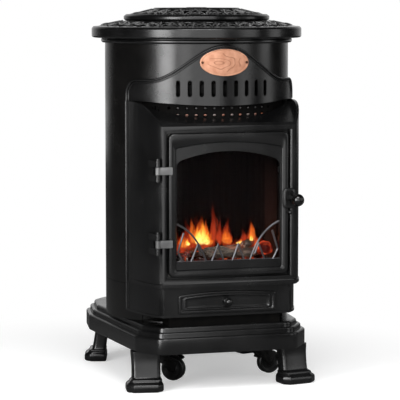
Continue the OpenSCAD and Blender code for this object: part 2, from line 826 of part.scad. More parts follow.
module hood_band() {
    color(IRON) in_place() difference() {
        hood_ring(band_r, band_r - hood_t) polygon(hood_plan(0));
        for (i = [0 : slot_count - 1]) at_front_angle((i - (slot_count - 1) / 2) * slot_pitch) {
            translate([-slot_w / 2, -band_r - 5, slot_z - slot_h / 2 + slot_w / 2])
                cube([slot_w, 20, slot_h - slot_w]);
            for (s = [-1, 1]) translate([0, -band_r + 15, slot_z + s * (slot_h - slot_w) / 2])
                rotate([90, 0, 0]) cylinder(r = slot_w / 2, h = 20, $fn = 32);
        }
        for (s = [-1, 1]) at_front_angle(s * screw_deg) translate([0, -band_r + 10, badge_z])
            rotate([90, 0, 0]) cylinder(r = screw_r, h = 20, $fn = 32);
    }
}

// Raised edge along the hood's wave, and the webs that close the hood against the cabinet
module hood_rim() {
    color(IRON) in_place() {
        difference() {
            hood_ring(band_r + 2, band_r + 0.001) polygon(hood_plan(0));
            upright(band_r + 30, 0) polygon(hood_plan(rim_w));
            translate([-200, -band_r - 10, edge_z]) cube([400, 400, wave_z - end_round_h - edge_z]);
        }
        difference() {
            hood_ring(band_r - hood_t - 0.001, shell_r + seat) polygon(hood_plan(0));
            upright(band_r + 30, 0) polygon(hood_plan(hood_t));
            translate([-200, -band_r - 10, edge_z]) cube([400, 400, wave_z - end_round_h - edge_z]);
        }
    }
}

badge_z = wave_z + 34;
badge_t = 2;
screw_r = 1.5;
screw_deg = asin((badge_w / 2 - 5) / band_r);

module badge_plate() {
    color([0.80, 0.55, 0.42]) in_place() difference() {
        intersection() {
            tube(band_r + badge_t + seat, band_r + seat, badge_z - badge_h, badge_z + badge_h);
            upright(band_r + 20, 0) translate([0, badge_z]) polygon(ellipse(badge_w, badge_h, 64));
        }
        for (s = [-1, 1]) at_front_angle(s * screw_deg) translate([0, -band_r + 10, badge_z])
            rotate([90, 0, 0]) cylinder(r = screw_r, h = 20, $fn = 32);
    }
}

module badge_screws() {
    color(BRIGHT) in_place() for (s = [-1, 1]) at_front_angle(s * screw_deg) translate([0, 0, badge_z])
        rotate([90, 0, 0]) {
        translate([0, 0, band_r - hood_t - 3])
            cylinder(r = screw_r - 0.05, h = hood_t + 3 + badge_t + 1, $fn = 32);
        translate([0, 0, band_r + badge_t + 0.5]) cylinder(r = 2.6, h = 1.2, $fn = 32);
    }
}

// ---- Fire ----------------------------------------------------------------------------

sheet_t = 1.5;
firebox_z = mid_top - 4;
firebox_top = firebox_z + firebox_h;
firebox_back = bulkhead_y + 4;
firebox_half = firebox_w / 2;
inner_back = firebox_back + sheet_t + 0.5;
flue_d = 36;
pipe_r = 4;
pipe_x = -134;
pipe_low_z = firebox_z + 10;
burner_y = stop_back - 42;

module firebox() {
    color(STEEL) in_place() difference() {
        union() {
            translate([-firebox_half, -stop_back, firebox_z])
                cube([firebox_w, stop_back - firebox_back, firebox_h]);
            translate([-firebox_half - 5, -stop_back, firebox_z])
                cube([firebox_w + 10, sheet_t, firebox_h]);
        }
        translate([-firebox_half + sheet_t, -stop_back - cut, firebox_z + sheet_t])
            cube([firebox_w - 2 * sheet_t, stop_back - firebox_back - sheet_t + cut,
                firebox_h - 2 * sheet_t]);
        translate([-firebox_half + 20, -firebox_back - flue_d - 8, firebox_top - 10])
            cube([firebox_w - 40, flue_d, 20]);
        translate([-firebox_half + 10, -burner_y, pipe_low_z]) rotate([0, -90, 0])
            cylinder(r = pipe_r + 1.5, h = 20);
    }
}

flute_pitch = 13;
flute_depth = 2.5;
liner_half = firebox_half - sheet_t - 0.5;
liner_front = stop_back - 12;

function flute(s) = flute_depth * (1 + cos(360 * s / flute_pitch)) / 2;
function run_of(length, n) = [for (i = [0 : n]) length * i / n];

// Fibre lining: flat outside, with vertical flutes on its two sides and its back
module firebox_liner() {
    depth = liner_front - inner_back - liner_t;
    width = 2 * (liner_half - liner_t);
    n_side = 4 * floor(depth / flute_pitch);
    n_back = 4 * floor(width / flute_pitch);
    left = [for (s = run_of(depth, n_side)) [-liner_half + liner_t - flute(s), -liner_front + s]];
    back = [for (s = run_of(width, n_back)) [-liner_half + liner_t + s, -inner_back - liner_t + flute(s)]];
    right = flip_x(left);
    color([0.20, 0.17, 0.15]) in_place() difference() {
        slab(firebox_z + sheet_t + 0.5, firebox_top - sheet_t - 14) polygon(concat(
            left, back, right,
            [[liner_half, -liner_front], [liner_half, -inner_back], [-liner_half, -inner_back],
                [-liner_half, -liner_front]]
        ));
        translate([-liner_half + 15, -burner_y, pipe_low_z]) rotate([0, -90, 0])
            cylinder(r = pipe_r + 1.5, h = 30);
    }
}

tray_half = liner_half - liner_t - 5;
tray_front = liner_front - 4;
tray_back = inner_back + liner_t + 5;
tray_z = firebox_z + sheet_t + 0.5;
tray_h = 22;

module burner_tray() {
    color(STEEL) in_place() difference() {
        translate([-tray_half, -tray_front, tray_z]) cube([2 * tray_half, tray_front - tray_back, tray_h]);
        translate([-tray_half + sheet_t, -tray_front + sheet_t, tray_z + sheet_t])
            cube([2 * (tray_half - sheet_t), tray_front - tray_back - 2 * sheet_t, tray_h]);
        translate([-tray_half + 5, -burner_y, pipe_low_z]) rotate([0, -90, 0])
            cylinder(r = pipe_r + 0.5, h = 10);
    }
}

bed_z = tray_z + tray_h;
bed_top = firebox_z + bed_h;
bed_half = tray_half - 0.5;
coal_rows = 3;
coal_r = (tray_front - tray_back - 1) / (2.1 * coal_rows);

function coal_y(j) = -tray_front + 0.5 + coal_r
    + (tray_front - tray_back - 1 - 2 * coal_r) * j / (coal_rows - 1);

// Bed of fibre coals: a slab on the tray's rim with rows of rounded lumps on it
module ember_bed() {
    cols = floor(2 * bed_half / (2.1 * coal_r));
    color([0.25, 0.09, 0.05]) in_place() {
        translate([-bed_half, -tray_front + 0.5, bed_z])
            cube([2 * bed_half, tray_front - tray_back - 1, bed_top - bed_z - 0.8 * coal_r]);
        for (i = [0 : cols - 1]) for (j = [0 : coal_rows - 1])
            translate([-bed_half + coal_r + (2 * bed_half - 2 * coal_r) * i / (cols - 1), coal_y(j),
                bed_top - coal_r - 1.5 * ((i + 2 * j) % 3)])
                sphere(r = coal_r, $fn = 24);
    }
}

module log(a, b, r) {
    color([0.23, 0.19, 0.15]) bar(a, b, r);
}

log_r = 9.5;

// Fibre logs: three lie on the coals, and a fourth lies across two of them
module log_set() {
    lying = bed_top + log_r + seat;
    crossing = lying + 2 * log_r - 1;
    in_place() {
        log([-34, coal_y(0), lying], [66, coal_y(0), lying], log_r);
        log([10, coal_y(2), lying], [96, coal_y(2), lying], log_r);
        log([-94, coal_y(2), lying], [-14, coal_y(2), lying], log_r);
        log([42, coal_y(0) - 8, crossing], [78, coal_y(2) + 10, crossing], log_r - 1);
    }
}

module pilot_burner() {
    x = -tray_half - 2;
    color(BRIGHT) in_place() {
        translate([x + 4, -tray_front - 3.5, tray_z]) cube([30, 2.5, tray_h + 14]);
        translate([x + 12, -tray_front - 4.5, tray_z + 14]) cylinder(r = 2.5, h = 30, $fn = 24);
        translate([x + 26, -tray_front - 4.5, tray_z + 14]) cylinder(r = 2, h = 34, $fn = 24);
    }
}

valve_w = 46;
valve_h = 26;
nozzle_r = 4;
nozzle_l = 22;
module gas_valve() {
    top = deck_z;
    color([0.70, 0.58, 0.30]) in_place() translate([control_x, -control_y, 0]) {
        translate([-valve_w / 2, -18, top - valve_h]) cube([valve_w, 36, valve_h]);
        translate([0, 0, top]) cylinder(r = spindle_r, h = deck_plate_t + 14, $fn = 48);
        translate([0, 18 + nozzle_l, top - valve_h / 2]) rotate([90, 0, 0])
            cylinder(r = nozzle_r, h = nozzle_l, $fn = 48);
        translate([0, 18 + 5, top - valve_h / 2]) rotate([90, 0, 0]) cylinder(r = 9, h = 5, $fn = 6);
    }
}

module gas_pipe() {
    top_z = deck_z - valve_h / 2;
    back_y = -bulkhead_y + 24;
    points = [
        [control_x - valve_w / 2, -control_y, top_z],
        [control_x - valve_w / 2 - 12, -control_y, top_z],
        [pipe_x, back_y, top_z],
        [pipe_x, back_y, pipe_low_z],
        [pipe_x, -burner_y, pipe_low_z],
        [-tray_half - 1, -burner_y, pipe_low_z]
    ];
    fitting = pipe_r + 2;
    color([0.72, 0.45, 0.30]) in_place() {
        for (i = [0 : 4]) bar(points[i], points[i + 1], pipe_r);
        for (i = [1 : 4]) translate(points[i] - [0, 0, fitting])
            cylinder(r = fitting, h = 2 * fitting, $fn = 32);
        bar(points[5] - [1, 0, 0], [tray_half - 20, -burner_y, pipe_low_z], pipe_r - 0.5);
    }
}

// ---- Door ----------------------------------------------------------------------------

win_half = door_w / 2 - stile_w;
win_z = door_z + sill_h;
win_top = door_top - head_h;
recess_d = 4;
recess_half = win_half + 2;
recess_z = door_z + 12;
recess_top = door_top - 16;
recess_rise = 11;
glass_half = win_half + 6;
glass_z = win_z - 8;
glass_top = win_top + 8;

// The window's outline: square at the sill, rounded and arched at the head, drawn in by d
function window_plan(d) =
    let (w = win_half - d, z0 = win_z + d, z1 = win_top - arch_rise - d)
        concat(
            [[-w, z0], [w, z0], [w, z1 - 8]],
            [for (i = [0 : 4]) [w - 12 * (1 - cos(22.5 * i)), z1 - 8 + 12 * sin(22.5 * i)]],
            [for (i = [1 : 11]) let (x = (w - 12) * (1 - i / 6)) [x,
                z1 + 4 + (arch_rise - 4) * (1 - pow(x / (w - 12), 2))]],
            [for (i = [4 : -1 : 0]) [-w + 12 * (1 - cos(22.5 * i)), z1 - 8 + 12 * sin(22.5 * i)]],
            [[-w, z1 - 8]]
        );

function door_plan(d) = rounded(inset([
    [-door_w / 2, door_z], [door_w / 2, door_z], [door_w / 2, door_top], [-door_w / 2, door_top]
], d), max(2, 12 - d));

module door_frame() {
    lug_half = 23;
    color(IRON) in_place() difference() {
        union() {
            upright(door_face - 2, door_back) polygon(door_plan(0));
            upright(door_face, door_face - 2.001) polygon(door_plan(2));
            translate([door_w / 2 - 13, -door_face - lug_t, knob_z - lug_half])
                cube([26, lug_t, 2 * lug_half]);
        }
        upright(door_face + 1, door_face - recess_d) translate([0, recess_z]) polygon(
            arched(2 * recess_half, recess_top - recess_z - recess_rise, recess_rise));
        upright(door_face + 10, door_back - 10) polygon(window_plan(0));
        translate([knob_x, -door_back + 20, knob_z]) rotate([90, 0, 0])
            cylinder(r = spindle_r + run, h = 60, $fn = 48);
    }
}

module door_straps() {
    color(IRON) in_place() for (z = [hinge_low, hinge_high])
        translate([-pin_x, -pin_y, door_z + z]) difference() {
        union() {
            translate([0, -strap_t / 2, -strap_h / 2]) cube([pin_x - door_w / 2 + 6, strap_t, strap_h]);
            translate([0, 0, -strap_h / 2]) cylinder(r = knuckle_r, h = strap_h, $fn = 48);
        }
        translate([0, 0, -strap_h]) cylinder(r = pin_r + run, h = 2 * strap_h, $fn = 48);
    }
}

module door_glass() {
    color([0.5, 0.5, 0.5, 0.3]) in_place() translate([-glass_half, -door_back, glass_z])
        cube([2 * glass_half, glass_t, glass_top - glass_z]);
}

module door_gasket() {
    t = stop_in - 2;
    color([0.35, 0.35, 0.33]) in_place() upright(door_back, stop_face + gap) difference() {
        polygon(inset([[-door_w / 2, door_z], [door_w / 2, door_z], [door_w / 2, door_top],
            [-door_w / 2, door_top]], 1));
        polygon(inset([[-door_w / 2, door_z], [door_w / 2, door_z], [door_w / 2, door_top],
            [-door_w / 2, door_top]], 1 + t));
    }
}

module glass_clips() {
    mid = (glass_z + glass_top) / 2;
    clip_h = 12;
    clip_t = 1.2;
    color(BRIGHT) in_place() for (s = [0, 1]) for (z = [mid - 70, mid + 70])
        mirror([s, 0, 0]) translate([glass_half - 1, -door_back, z - clip_h / 2]) {
            translate([-5, glass_t, 0]) cube([8.3, clip_t, clip_h]);
            translate([1.3, 0, 0]) cube([2, glass_t + clip_t, clip_h]);
        }
}

fret_w = 4.5;
fret_t = 3;
fret_y = door_face - 6;

// A flat bar of the fret between two points
module fret_bar(a, b) {
    n = fret_w / 2 * unit([a[1] - b[1], b[0] - a[0]]);
    polygon([a - n, b - n, b + n, a + n]);
}

module fret_half() {
    foot = win_z;
    arc = bezier([-win_half, foot + 76], [-win_half * 0.62, foot + 60], [-46, foot - 3], 10);
    for (i = [0 : 9]) fret_bar(arc[i], arc[i + 1]);
    for (x = [-21, -64]) {
        fret_bar([x - 13, foot - 2], [x, foot + 32]);
        if (x > -40) fret_bar([x, foot + 32], [x + 12, foot - 2]);
    }
    fret_bar([-win_half + 15, foot + 58], [-win_half + 3, foot + 20]);
    fret_bar([-win_half + 3, foot + 20], [-win_half + 13, foot - 2]);
    fret_bar([-64, foot + 32], [-56, foot + 12]);
}

module window_fret() {
    color([0.38, 0.38, 0.38]) in_place() upright(fret_y, fret_y - fret_t) intersection() {
        polygon(window_plan(0.2));
        union() {
            fret_half();
            mirror([1, 0]) fret_half();
            translate([-win_half, win_z]) square([2 * win_half, 4]);
        }
    }
}

tongue_r = 5.2;

module latch_knob() {
    tip = stop_face + 3.5;
    color([0.04, 0.04, 0.04]) in_place() translate([knob_x, 0, knob_z]) rotate([90, 0, 0]) {
        translate([0, 0, tip]) cylinder(r = spindle_r, h = knob_y - tip - knob_r + 3, $fn = 48);
        translate([0, 0, knob_y]) sphere(r = knob_r, $fn = 64);
        translate([0, 0, door_face + lug_t + gap]) cylinder(r = 8, h = 4, $fn = 48);
        translate([0, 0, door_face + lug_t + gap + 4])
            cylinder(r = 5.5, h = knob_reach - lug_t - knob_r + 2, $fn = 48);
        intersection() {
            translate([0, 0, tip]) cylinder(r = tongue_r, h = 6, $fn = 48);
            translate([-3, -10, 0]) cube([6, 20, 400]);
        }
    }
}

module latch_keeper() {
    leaf = 1.5;
    inner = tongue_r + 0.5;
    color(BRIGHT) in_place() translate([knob_x - 5.5, -stop_face, knob_z]) {
        translate([0, -2, -inner - leaf]) cube([11, 2, 2 * (inner + leaf)]);
        for (s = [-1, 1]) translate([0, -12, s > 0 ? inner : -inner - leaf]) cube([11, 12, leaf]);
    }
}

module hinge_brackets() {
    ear = 13;
    play = 0.4;
    arm = [[-pin_x + 5, -pin_y], [-pin_x + 3, -pin_y + 7], [-pin_x + 4, -pin_y + 36],
        [-pin_x - 10, -pin_y + 33], [-pin_x - 5, -pin_y]];
    plate = [[-pin_x + 10, -pin_y + 18], [-pin_x + 4, -pin_y + 36], [-pin_x - 10, -pin_y + 33],
        [-pin_x - 5, -pin_y + 16]];
    color(IRON) in_place() for (z = [hinge_low, hinge_high]) translate([0, 0, door_z + z]) difference() {
        union() {
            for (s = [-1, 1]) translate([0, 0, s > 0 ? strap_h / 2 + play : -strap_h / 2 - play - ear]) {
                translate([-pin_x, -pin_y, 0]) cylinder(r = knuckle_r, h = ear, $fn = 48);
                linear_extrude(ear) polygon(arm);
            }
            translate([0, 0, -strap_h / 2 - play - ear]) linear_extrude(strap_h + 2 * play + 2 * ear)
                polygon(plate);
        }
        translate([0, 0, -50]) linear_extrude(100) polygon(front_plan(front_half_w, front_y));
        translate([-pin_x, -pin_y, -50]) cylinder(r = pin_r, h = 100, $fn = 48);
    }
}

module hinge_pins() {
    half = strap_h / 2 + 14;
    color(BRIGHT) in_place() for (z = [hinge_low, hinge_high]) translate([-pin_x, -pin_y, door_z + z]) {
        translate([0, 0, -half]) cylinder(r = pin_r, h = 2 * half, $fn = 48);
        translate([0, 0, half]) cylinder(r = pin_r + 1.5, h = 3, $fn = 48);
    }
    color(BRIGHT) in_place() for (z = rear_hinge_z) rotate([0, 0, rear_pin_deg])
        translate([rear_pin_d, 0, z - rear_hinge_h / 2 - 1])
        cylinder(r = rear_pin_r, h = rear_hinge_h + 2, $fn = 48);
}

// ---- Drawer --------------------------------------------------------------------------

drawer_t = 4.5;
drawer_face = low_face + gap + drawer_t;
tray_out = aperture_w - 6;
tray_bottom = drawer_z + 5;
tray_wall_h = drawer_h - 18;

module drawer_front() {
    top = drawer_h - 6;
    color(IRON) in_place() difference() {
        upright(drawer_face, low_face + gap) translate([0, drawer_z]) polygon(arched(drawer_w, top, 6));
        upright(drawer_face + 1, drawer_face - 2) translate([0, drawer_z + 8])
            polygon(arched(drawer_w - 26, top - 16, 5));
        translate([0, -low_face, drawer_z + drawer_h / 2]) rotate([90, 0, 0])
            cylinder(r = 2.5, h = 30, center = true, $fn = 32);
    }
}

module drawer_tray() {
    y = low_face + gap;
    color(STEEL) in_place() difference() {
        translate([-tray_out / 2, -y, tray_bottom]) cube([tray_out, tray_d, tray_wall_h]);
        translate([-tray_out / 2 + sheet_t, -y + sheet_t, tray_bottom + sheet_t])
            cube([tray_out - 2 * sheet_t, tray_d - 2 * sheet_t, tray_wall_h]);
        translate([0, -low_face, drawer_z + drawer_h / 2]) rotate([90, 0, 0])
            cylinder(r = 2.5, h = 30, center = true, $fn = 32);
    }
}

module drawer_knob() {
    color([0.04, 0.04, 0.04]) in_place() translate([0, 0, drawer_z + drawer_h / 2]) rotate([90, 0, 0]) {
        translate([0, 0, low_face - 4]) cylinder(r = 2.5, h = drawer_t + 8, $fn = 32);
        translate([0, 0, drawer_face - 2]) cylinder(r = 6, h = 2, $fn = 32);
        translate([0, 0, drawer_face + drawer_knob_r - 1]) sphere(r = drawer_knob_r, $fn = 48);
    }
}

module drawer_runners() {
    front = low_face - casting_t;
    back = bulkhead_y;
    color(STEEL) in_place() for (s = [-1, 1]) mirror([s < 0 ? 1 : 0, 0, 0]) {
        translate([tray_out / 2 - 10, -front, tray_bottom - gap - sheet_t])
            cube([10 + gap + sheet_t, front - back, sheet_t]);
        translate([tray_out / 2 + gap, -front, tray_bottom - gap - sheet_t])
            cube([sheet_t, front - back, 18]);
    }
}

// ---- Lid and controls ----------------------------------------------------------------

lid_flat_r = lid_r - 64;
lid_pin_y = lid_r + 8;
lid_pin_z = lid_z + 6;
lid_pin_r = 2;

module domed_lid() {
    color(IRON) in_place() {
        difference() {
            translate([0, 0, lid_z]) rotate_extrude() polygon(concat(
                [[0, lid_h - 8], [0, lid_h - 2], [14, lid_h - 2], [16, lid_h], [21, lid_h],
                    [23, lid_h - 2]],
                [[lid_flat_r - 30, lid_h - 3], [lid_flat_r - 28, lid_h - 1],
                    [lid_flat_r - 23, lid_h - 1], [lid_flat_r - 21, lid_h - 3]],
                [[lid_flat_r - 8, lid_h - 3.5], [lid_flat_r - 5, lid_h - 1], [lid_flat_r, lid_h - 1],
                    [lid_flat_r + 3, lid_h - 4.5]],
                [[lid_r - 14, 12]],
                [for (i = [0 : 8]) let (a = 100 - 25 * i) [lid_r - 6.5 + 6.5 * cos(a), 6.5 + 6.5 * sin(a)]],
                [[lid_r - 10, 0], [lid_r - 14, 4], [lid_flat_r, lid_h - 11]]
            ));
            for (i = [0 : pierced_count - 1]) rotate([0, 0, 360 * i / pierced_count])
                translate([lid_flat_r + 8, -4, lid_z + 2]) cube([lid_r - lid_flat_r - 26, 8, lid_h]);
        }
        difference() {
            union() {
                translate([-12, lid_pin_y, lid_pin_z]) rotate([0, 90, 0]) cylinder(r = 4, h = 24, $fn = 48);
                translate([-12, lid_r - 6, lid_pin_z - 4]) cube([24, lid_pin_y - lid_r + 6, 7]);
            }
            translate([-20, lid_pin_y, lid_pin_z]) rotate([0, 90, 0])
                cylinder(r = lid_pin_r + run, h = 40, $fn = 48);
        }
    }
}

module lid_bracket() {
    color(IRON) in_place() difference() {
        union() {
            for (s = [-1, 1]) translate([s > 0 ? 12.4 : -17.4, 0, 0]) {
                translate([0, lid_pin_y, lid_pin_z]) rotate([0, 90, 0]) cylinder(r = 4.5, h = 5, $fn = 48);
                translate([0, lid_pin_y - 4.5, crown_z - 8]) cube([5, 9, lid_pin_z - crown_z + 8]);
            }
            translate([-20, lid_pin_y, lid_pin_z]) rotate([0, 90, 0])
                cylinder(r = lid_pin_r, h = 40, $fn = 48);
        }
        translate([0, 0, ring_z]) rotate_extrude() polygon([
            [crown_out, 0], [crown_out, ring_h + 1], [crown_in + 5, ring_h + crown_rise],
                [crown_in, ring_h + crown_rise], [crown_in, 0]
        ]);
    }
}

module control_knob() {
    r = 20;
    h = 18;
    z0 = deck_z + deck_plate_t + 1;
    color([0.05, 0.05, 0.05]) in_place() translate([control_x, -control_y, z0]) difference() {
        union() {
            cylinder(r = r, h = 4);
            cylinder(r = r - 3, h = h);
            for (i = [0 : 11]) rotate([0, 0, 30 * i]) translate([r - 3, 0, 0])
                cylinder(r = 2, h = h - 2, $fn = 24);
        }
        translate([0, 0, -cut]) cylinder(r = spindle_r + run, h = 14 + cut, $fn = 48);
        translate([-1, -r, h - 1.2]) cube([2, r - 4, 3]);
    }
}

module igniter_button() {
    color([0.55, 0.10, 0.08]) in_place() translate([button_x, -control_y, deck_z]) {
        translate([0, 0, -12]) cylinder(r = button_r, h = 12 + deck_plate_t + 8, $fn = 64);
        translate([0, 0, -14]) cylinder(r = button_r + 2, h = 4, $fn = 64);
    }
}

// ---- Rear door -----------------------------------------------------------------------

leaf_t = 1.5;
rear_knuckle_r = 4.2;
rear_pin_r = 2;
rear_pin_deg = 90 - rear_half_deg - 1.8;
rear_pin_d = shell_r + leaf_t + rear_knuckle_r + 0.4;
rear_hinge_z = [plinth_top + 90, rear_door_top - 90];
rear_hinge_h = 50;

module rear_leaf(deg, half_deg, r_in, z0, z1) {
    intersection() {
        tube(shell_r + leaf_t + seat, r_in, z0, z1);
        wedge(deg, half_deg, shell_r + 10, z0, z1);
    }
}

// A knuckle with its web on one side: side 1 for the door's, -1 for the cabinet's
module rear_knuckle(side, z0, z1) {
    rotate([0, 0, rear_pin_deg]) {
        translate([rear_pin_d, 0, z0]) cylinder(r = rear_knuckle_r, h = z1 - z0, $fn = 48);
        translate([shell_r + seat, side > 0 ? 0 : -3, z0]) cube([rear_pin_d - shell_r - 1, 3, z1 - z0]);
    }
}

module rear_pin_hole() {
    rotate([0, 0, rear_pin_deg]) translate([rear_pin_d, 0, plinth_top])
        cylinder(r = rear_pin_r + run, h = neck_z, $fn = 48);
}

module rear_door() {
    color(STEEL) in_place() difference() {
        union() {
            difference() {
                tube(shell_r, shell_r - shell_t, rear_door_z, rear_door_top);
                rotate([0, 0, 180]) wedge(90, 180 - rear_half_deg, shell_r, plinth_top, neck_z);
            }
            for (z = rear_hinge_z) {
                rear_leaf(rear_pin_deg + 5, 5, shell_r + seat, z - rear_hinge_h / 6 + gap,
                    z + rear_hinge_h / 6 - gap);
                rear_leaf(rear_pin_deg + 6, 4, shell_r - 0.5, z - rear_hinge_h / 6 + gap,
                    z + rear_hinge_h / 6 - gap);
                rear_knuckle(1, z - rear_hinge_h / 6 + gap, z + rear_hinge_h / 6 - gap);
            }
        }
        rear_pin_hole();
    }
}

// Bow handle on the free side of the rear door
module rear_pull() {
    z = (rear_door_z + rear_door_top) / 2;
    color(IRON) in_place() rotate([0, 0, 90 + rear_half_deg - 7]) {
        for (s = [-1, 1]) translate([shell_r + seat, 0, z + s * 45]) rotate([0, 90, 0])
            cylinder(r = 4, h = 20, $fn = 48);
        translate([shell_r + 18, 0, z - 52]) cylinder(r = 4.5, h = 104, $fn = 48);
    }
}

module rear_hinge_leaves() {
    color(STEEL) in_place() difference() {
        for (z = rear_hinge_z) for (s = [-1, 1]) {
            z0 = s < 0 ? z - rear_hinge_h / 2 : z + rear_hinge_h / 6;
            rear_leaf(rear_pin_deg - 4.2, 4, shell_r + seat, z0, z0 + rear_hinge_h / 3);
            rear_knuckle(-1, z0, z0 + rear_hinge_h / 3);
        }
        rear_pin_hole();
    }
}

base_plinth();
leg_front_left();
leg_front_right();
leg_rear_left();
leg_rear_right();
plinth_fittings();
kick_panel();
floor_pan();
lower_casting();
drawer_runners();
front_casting();
shoulder_plate();
outlet_grille();
hood_band();
hood_rim();
badge_plate();
badge_screws();
lower_shell();
upper_shell();
neck_ring();
top_ring();
control_deck();
bulkhead();
heat_baffle();
firebox();
firebox_liner();
burner_tray();
ember_bed();
log_set();
pilot_burner();
gas_valve();
gas_pipe();
hinge_brackets();
hinge_pins();
latch_keeper();
lid_bracket();
rear_hinge_leaves();
rear_pull();
door_frame();
door_straps();
door_glass();
door_gasket();
glass_clips();
window_fret();
latch_knob();
drawer_front();
drawer_tray();
drawer_knob();
domed_lid();
control_knob();
igniter_button();
rear_door();
castor_fork_1();
castor_fork_2();
castor_fork_3();
castor_fork_4();
castor_wheel_1();
castor_wheel_2();
castor_wheel_3();
castor_wheel_4();
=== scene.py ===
# %% [markdown]
# # A free-standing stove, dressed for a photograph
# The CAD model already fixes every solid, joint and size. This lesson adds what the eye reads:
# rounded castings, satin enamel, fretwork, a fuel-effect fire behind glass and soft studio light.
# Everything is in metres in Blender; shapes are typed in millimetres from the cabinet's axis.

# %% Load the frame and measure it
import json
import random
from math import asin, atan2, copysign, cos, hypot, pi, radians, sin, sqrt, tan, tau

import bmesh
import bpy
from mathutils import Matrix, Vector, noise


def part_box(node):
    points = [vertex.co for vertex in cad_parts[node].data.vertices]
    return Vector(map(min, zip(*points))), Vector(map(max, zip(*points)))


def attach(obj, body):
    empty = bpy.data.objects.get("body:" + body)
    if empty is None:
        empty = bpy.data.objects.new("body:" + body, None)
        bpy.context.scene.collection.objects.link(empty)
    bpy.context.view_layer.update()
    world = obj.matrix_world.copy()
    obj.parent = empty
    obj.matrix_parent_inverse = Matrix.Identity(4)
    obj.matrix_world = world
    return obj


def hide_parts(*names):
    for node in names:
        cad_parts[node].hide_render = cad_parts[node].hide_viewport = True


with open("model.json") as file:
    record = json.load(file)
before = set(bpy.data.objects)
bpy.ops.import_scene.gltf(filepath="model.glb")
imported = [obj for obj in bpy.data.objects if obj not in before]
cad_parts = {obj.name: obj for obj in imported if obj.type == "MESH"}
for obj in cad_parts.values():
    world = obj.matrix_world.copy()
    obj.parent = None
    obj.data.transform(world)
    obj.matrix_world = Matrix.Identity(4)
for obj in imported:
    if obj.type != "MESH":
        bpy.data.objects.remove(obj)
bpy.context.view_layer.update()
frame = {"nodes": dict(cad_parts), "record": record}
nodes = frame["nodes"]
record = frame["record"]
scene = bpy.context.scene
scene.view_settings.view_transform = "Standard"
shell_low, shell_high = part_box("upper_shell")
axis_y = (shell_low.y + shell_high.y) / 2
body_of = {node: body for body, members in record["behaviour"]["bodies"].items() for node in members}
slot_of = {row["node"]: row["material_slot"] for row in record["subparts"]}


def at(x, y, z):
    """A point given in millimetres from the cabinet's axis on the floor."""
    return Vector((x / 1000, y / 1000 + axis_y, z / 1000))


def around(count):
    """Angles that share out a full turn."""
    return [tau * i / count for i in range(count)]


# %% [markdown]
# ## Camera
# The photograph was taken from the left front, a little above the stove, with a long lens.
# A 180 mm lens four metres away gives the same small amount of perspective.

# %% Camera
VIEW_AZIMUTH, VIEW_TILT, VIEW_TURN = radians(16.6), radians(5.8), radians(16.7)
VIEW_DISTANCE, VIEW_HEIGHT = 4.1761, 0.7885
camera_data = bpy.data.cameras.new("camera")
camera_data.lens = 180
camera = bpy.data.objects.new("camera", camera_data)
scene.collection.objects.link(camera)
camera.location = (-VIEW_DISTANCE * sin(VIEW_AZIMUTH), axis_y - VIEW_DISTANCE * cos(VIEW_AZIMUTH), VIEW_HEIGHT)
camera.rotation_euler = (pi / 2 - VIEW_TILT, 0, -VIEW_TURN)
scene.camera = camera
print("camera at", [round(c, 3) for c in camera.location])

# %% [markdown]
# ## Node trees in few words
# Shader trees and Geometry Nodes trees are both made of nodes whose inputs are links or plain values.
# This small class writes both in one way, so each finish below reads as a short recipe.


# %% The graph helper
FLOAT, COLOR = "NodeSocketFloat", "NodeSocketColor"


class Graph:
    """A node tree, with short names for the steps that come back often."""

    def __init__(self, tree):
        self.tree = tree

    def add(self, kind, links=None, prefix="ShaderNode", **values):
        """A node with its properties and its inputs set."""
        node = self.tree.nodes.new(prefix + kind)
        for key, value in values.items():
            setattr(node, key, value)
        self.plug(node, links or {})
        return node

    def plug(self, node, links):
        """Give inputs of a node a link or a plain value; a colour may leave out its alpha."""
        for key, value in links.items():
            socket = node.inputs[key]
            if isinstance(value, bpy.types.NodeSocket):
                self.tree.links.new(value, socket)
            else:
                socket.default_value = (*value, 1) if socket.type == "RGBA" and len(value) == 3 else value

    def out(self, kind, links=None, output=0, **values):
        return self.add(kind, links, **values).outputs[output]

    def geo(self, kind, links=None, **values):
        return self.out(kind, links, prefix="GeometryNode", **values)

    def joined(self, *parts):
        node = self.add("JoinGeometry", prefix="GeometryNode")
        for part in parts:
            self.tree.links.new(part, node.inputs[0])
        return node.outputs[0]

    def calc(self, operation, a, b=0.0):
        return self.out("Math", {0: a, 1: b}, operation=operation)

    def times(self, first, *others):
        for other in others:
            first = self.calc("MULTIPLY", first, other)
        return first

    def span(self, value, low, high, first=0.0, last=1.0, **values):
        """A value that runs from low to high, made to run from first to last."""
        return self.out("MapRange", {0: value, 1: low, 2: high, 3: first, 4: last}, **values)

    def mix(self, factor, first, second):
        return self.out("Mix", {0: factor, 6: first, 7: second}, 2, data_type="RGBA")

    def ramp(self, value, stops):
        """A colour that follows a value through (position, colour) stops."""
        node = self.add("ValToRGB", {0: value})
        ends = node.color_ramp.elements
        for element, (position, color) in zip(ends, (stops[0], stops[-1])):
            element.position, element.color = position, (*color, 1)
        for position, color in stops[1:-1]:
            ends.new(position).color = (*color, 1)
        return node.outputs[0]

    def place(self):
        return self.out("TexCoord", output="Object")

    def mapped(self, vector, **values):
        return self.out("Mapping", {"Vector": vector, **values})

    def vector(self, x, y, z):
        return self.out("CombineXYZ", {0: x, 1: y, 2: z})

    def noise(self, place, scale, detail):
        return self.out("TexNoise", {"Vector": place, "Scale": scale, "Detail": detail}, "Fac")

    def bump(self, height, strength, distance):
        return self.out("Bump", {"Height": height, "Strength": strength, "Distance": distance}, "Normal")


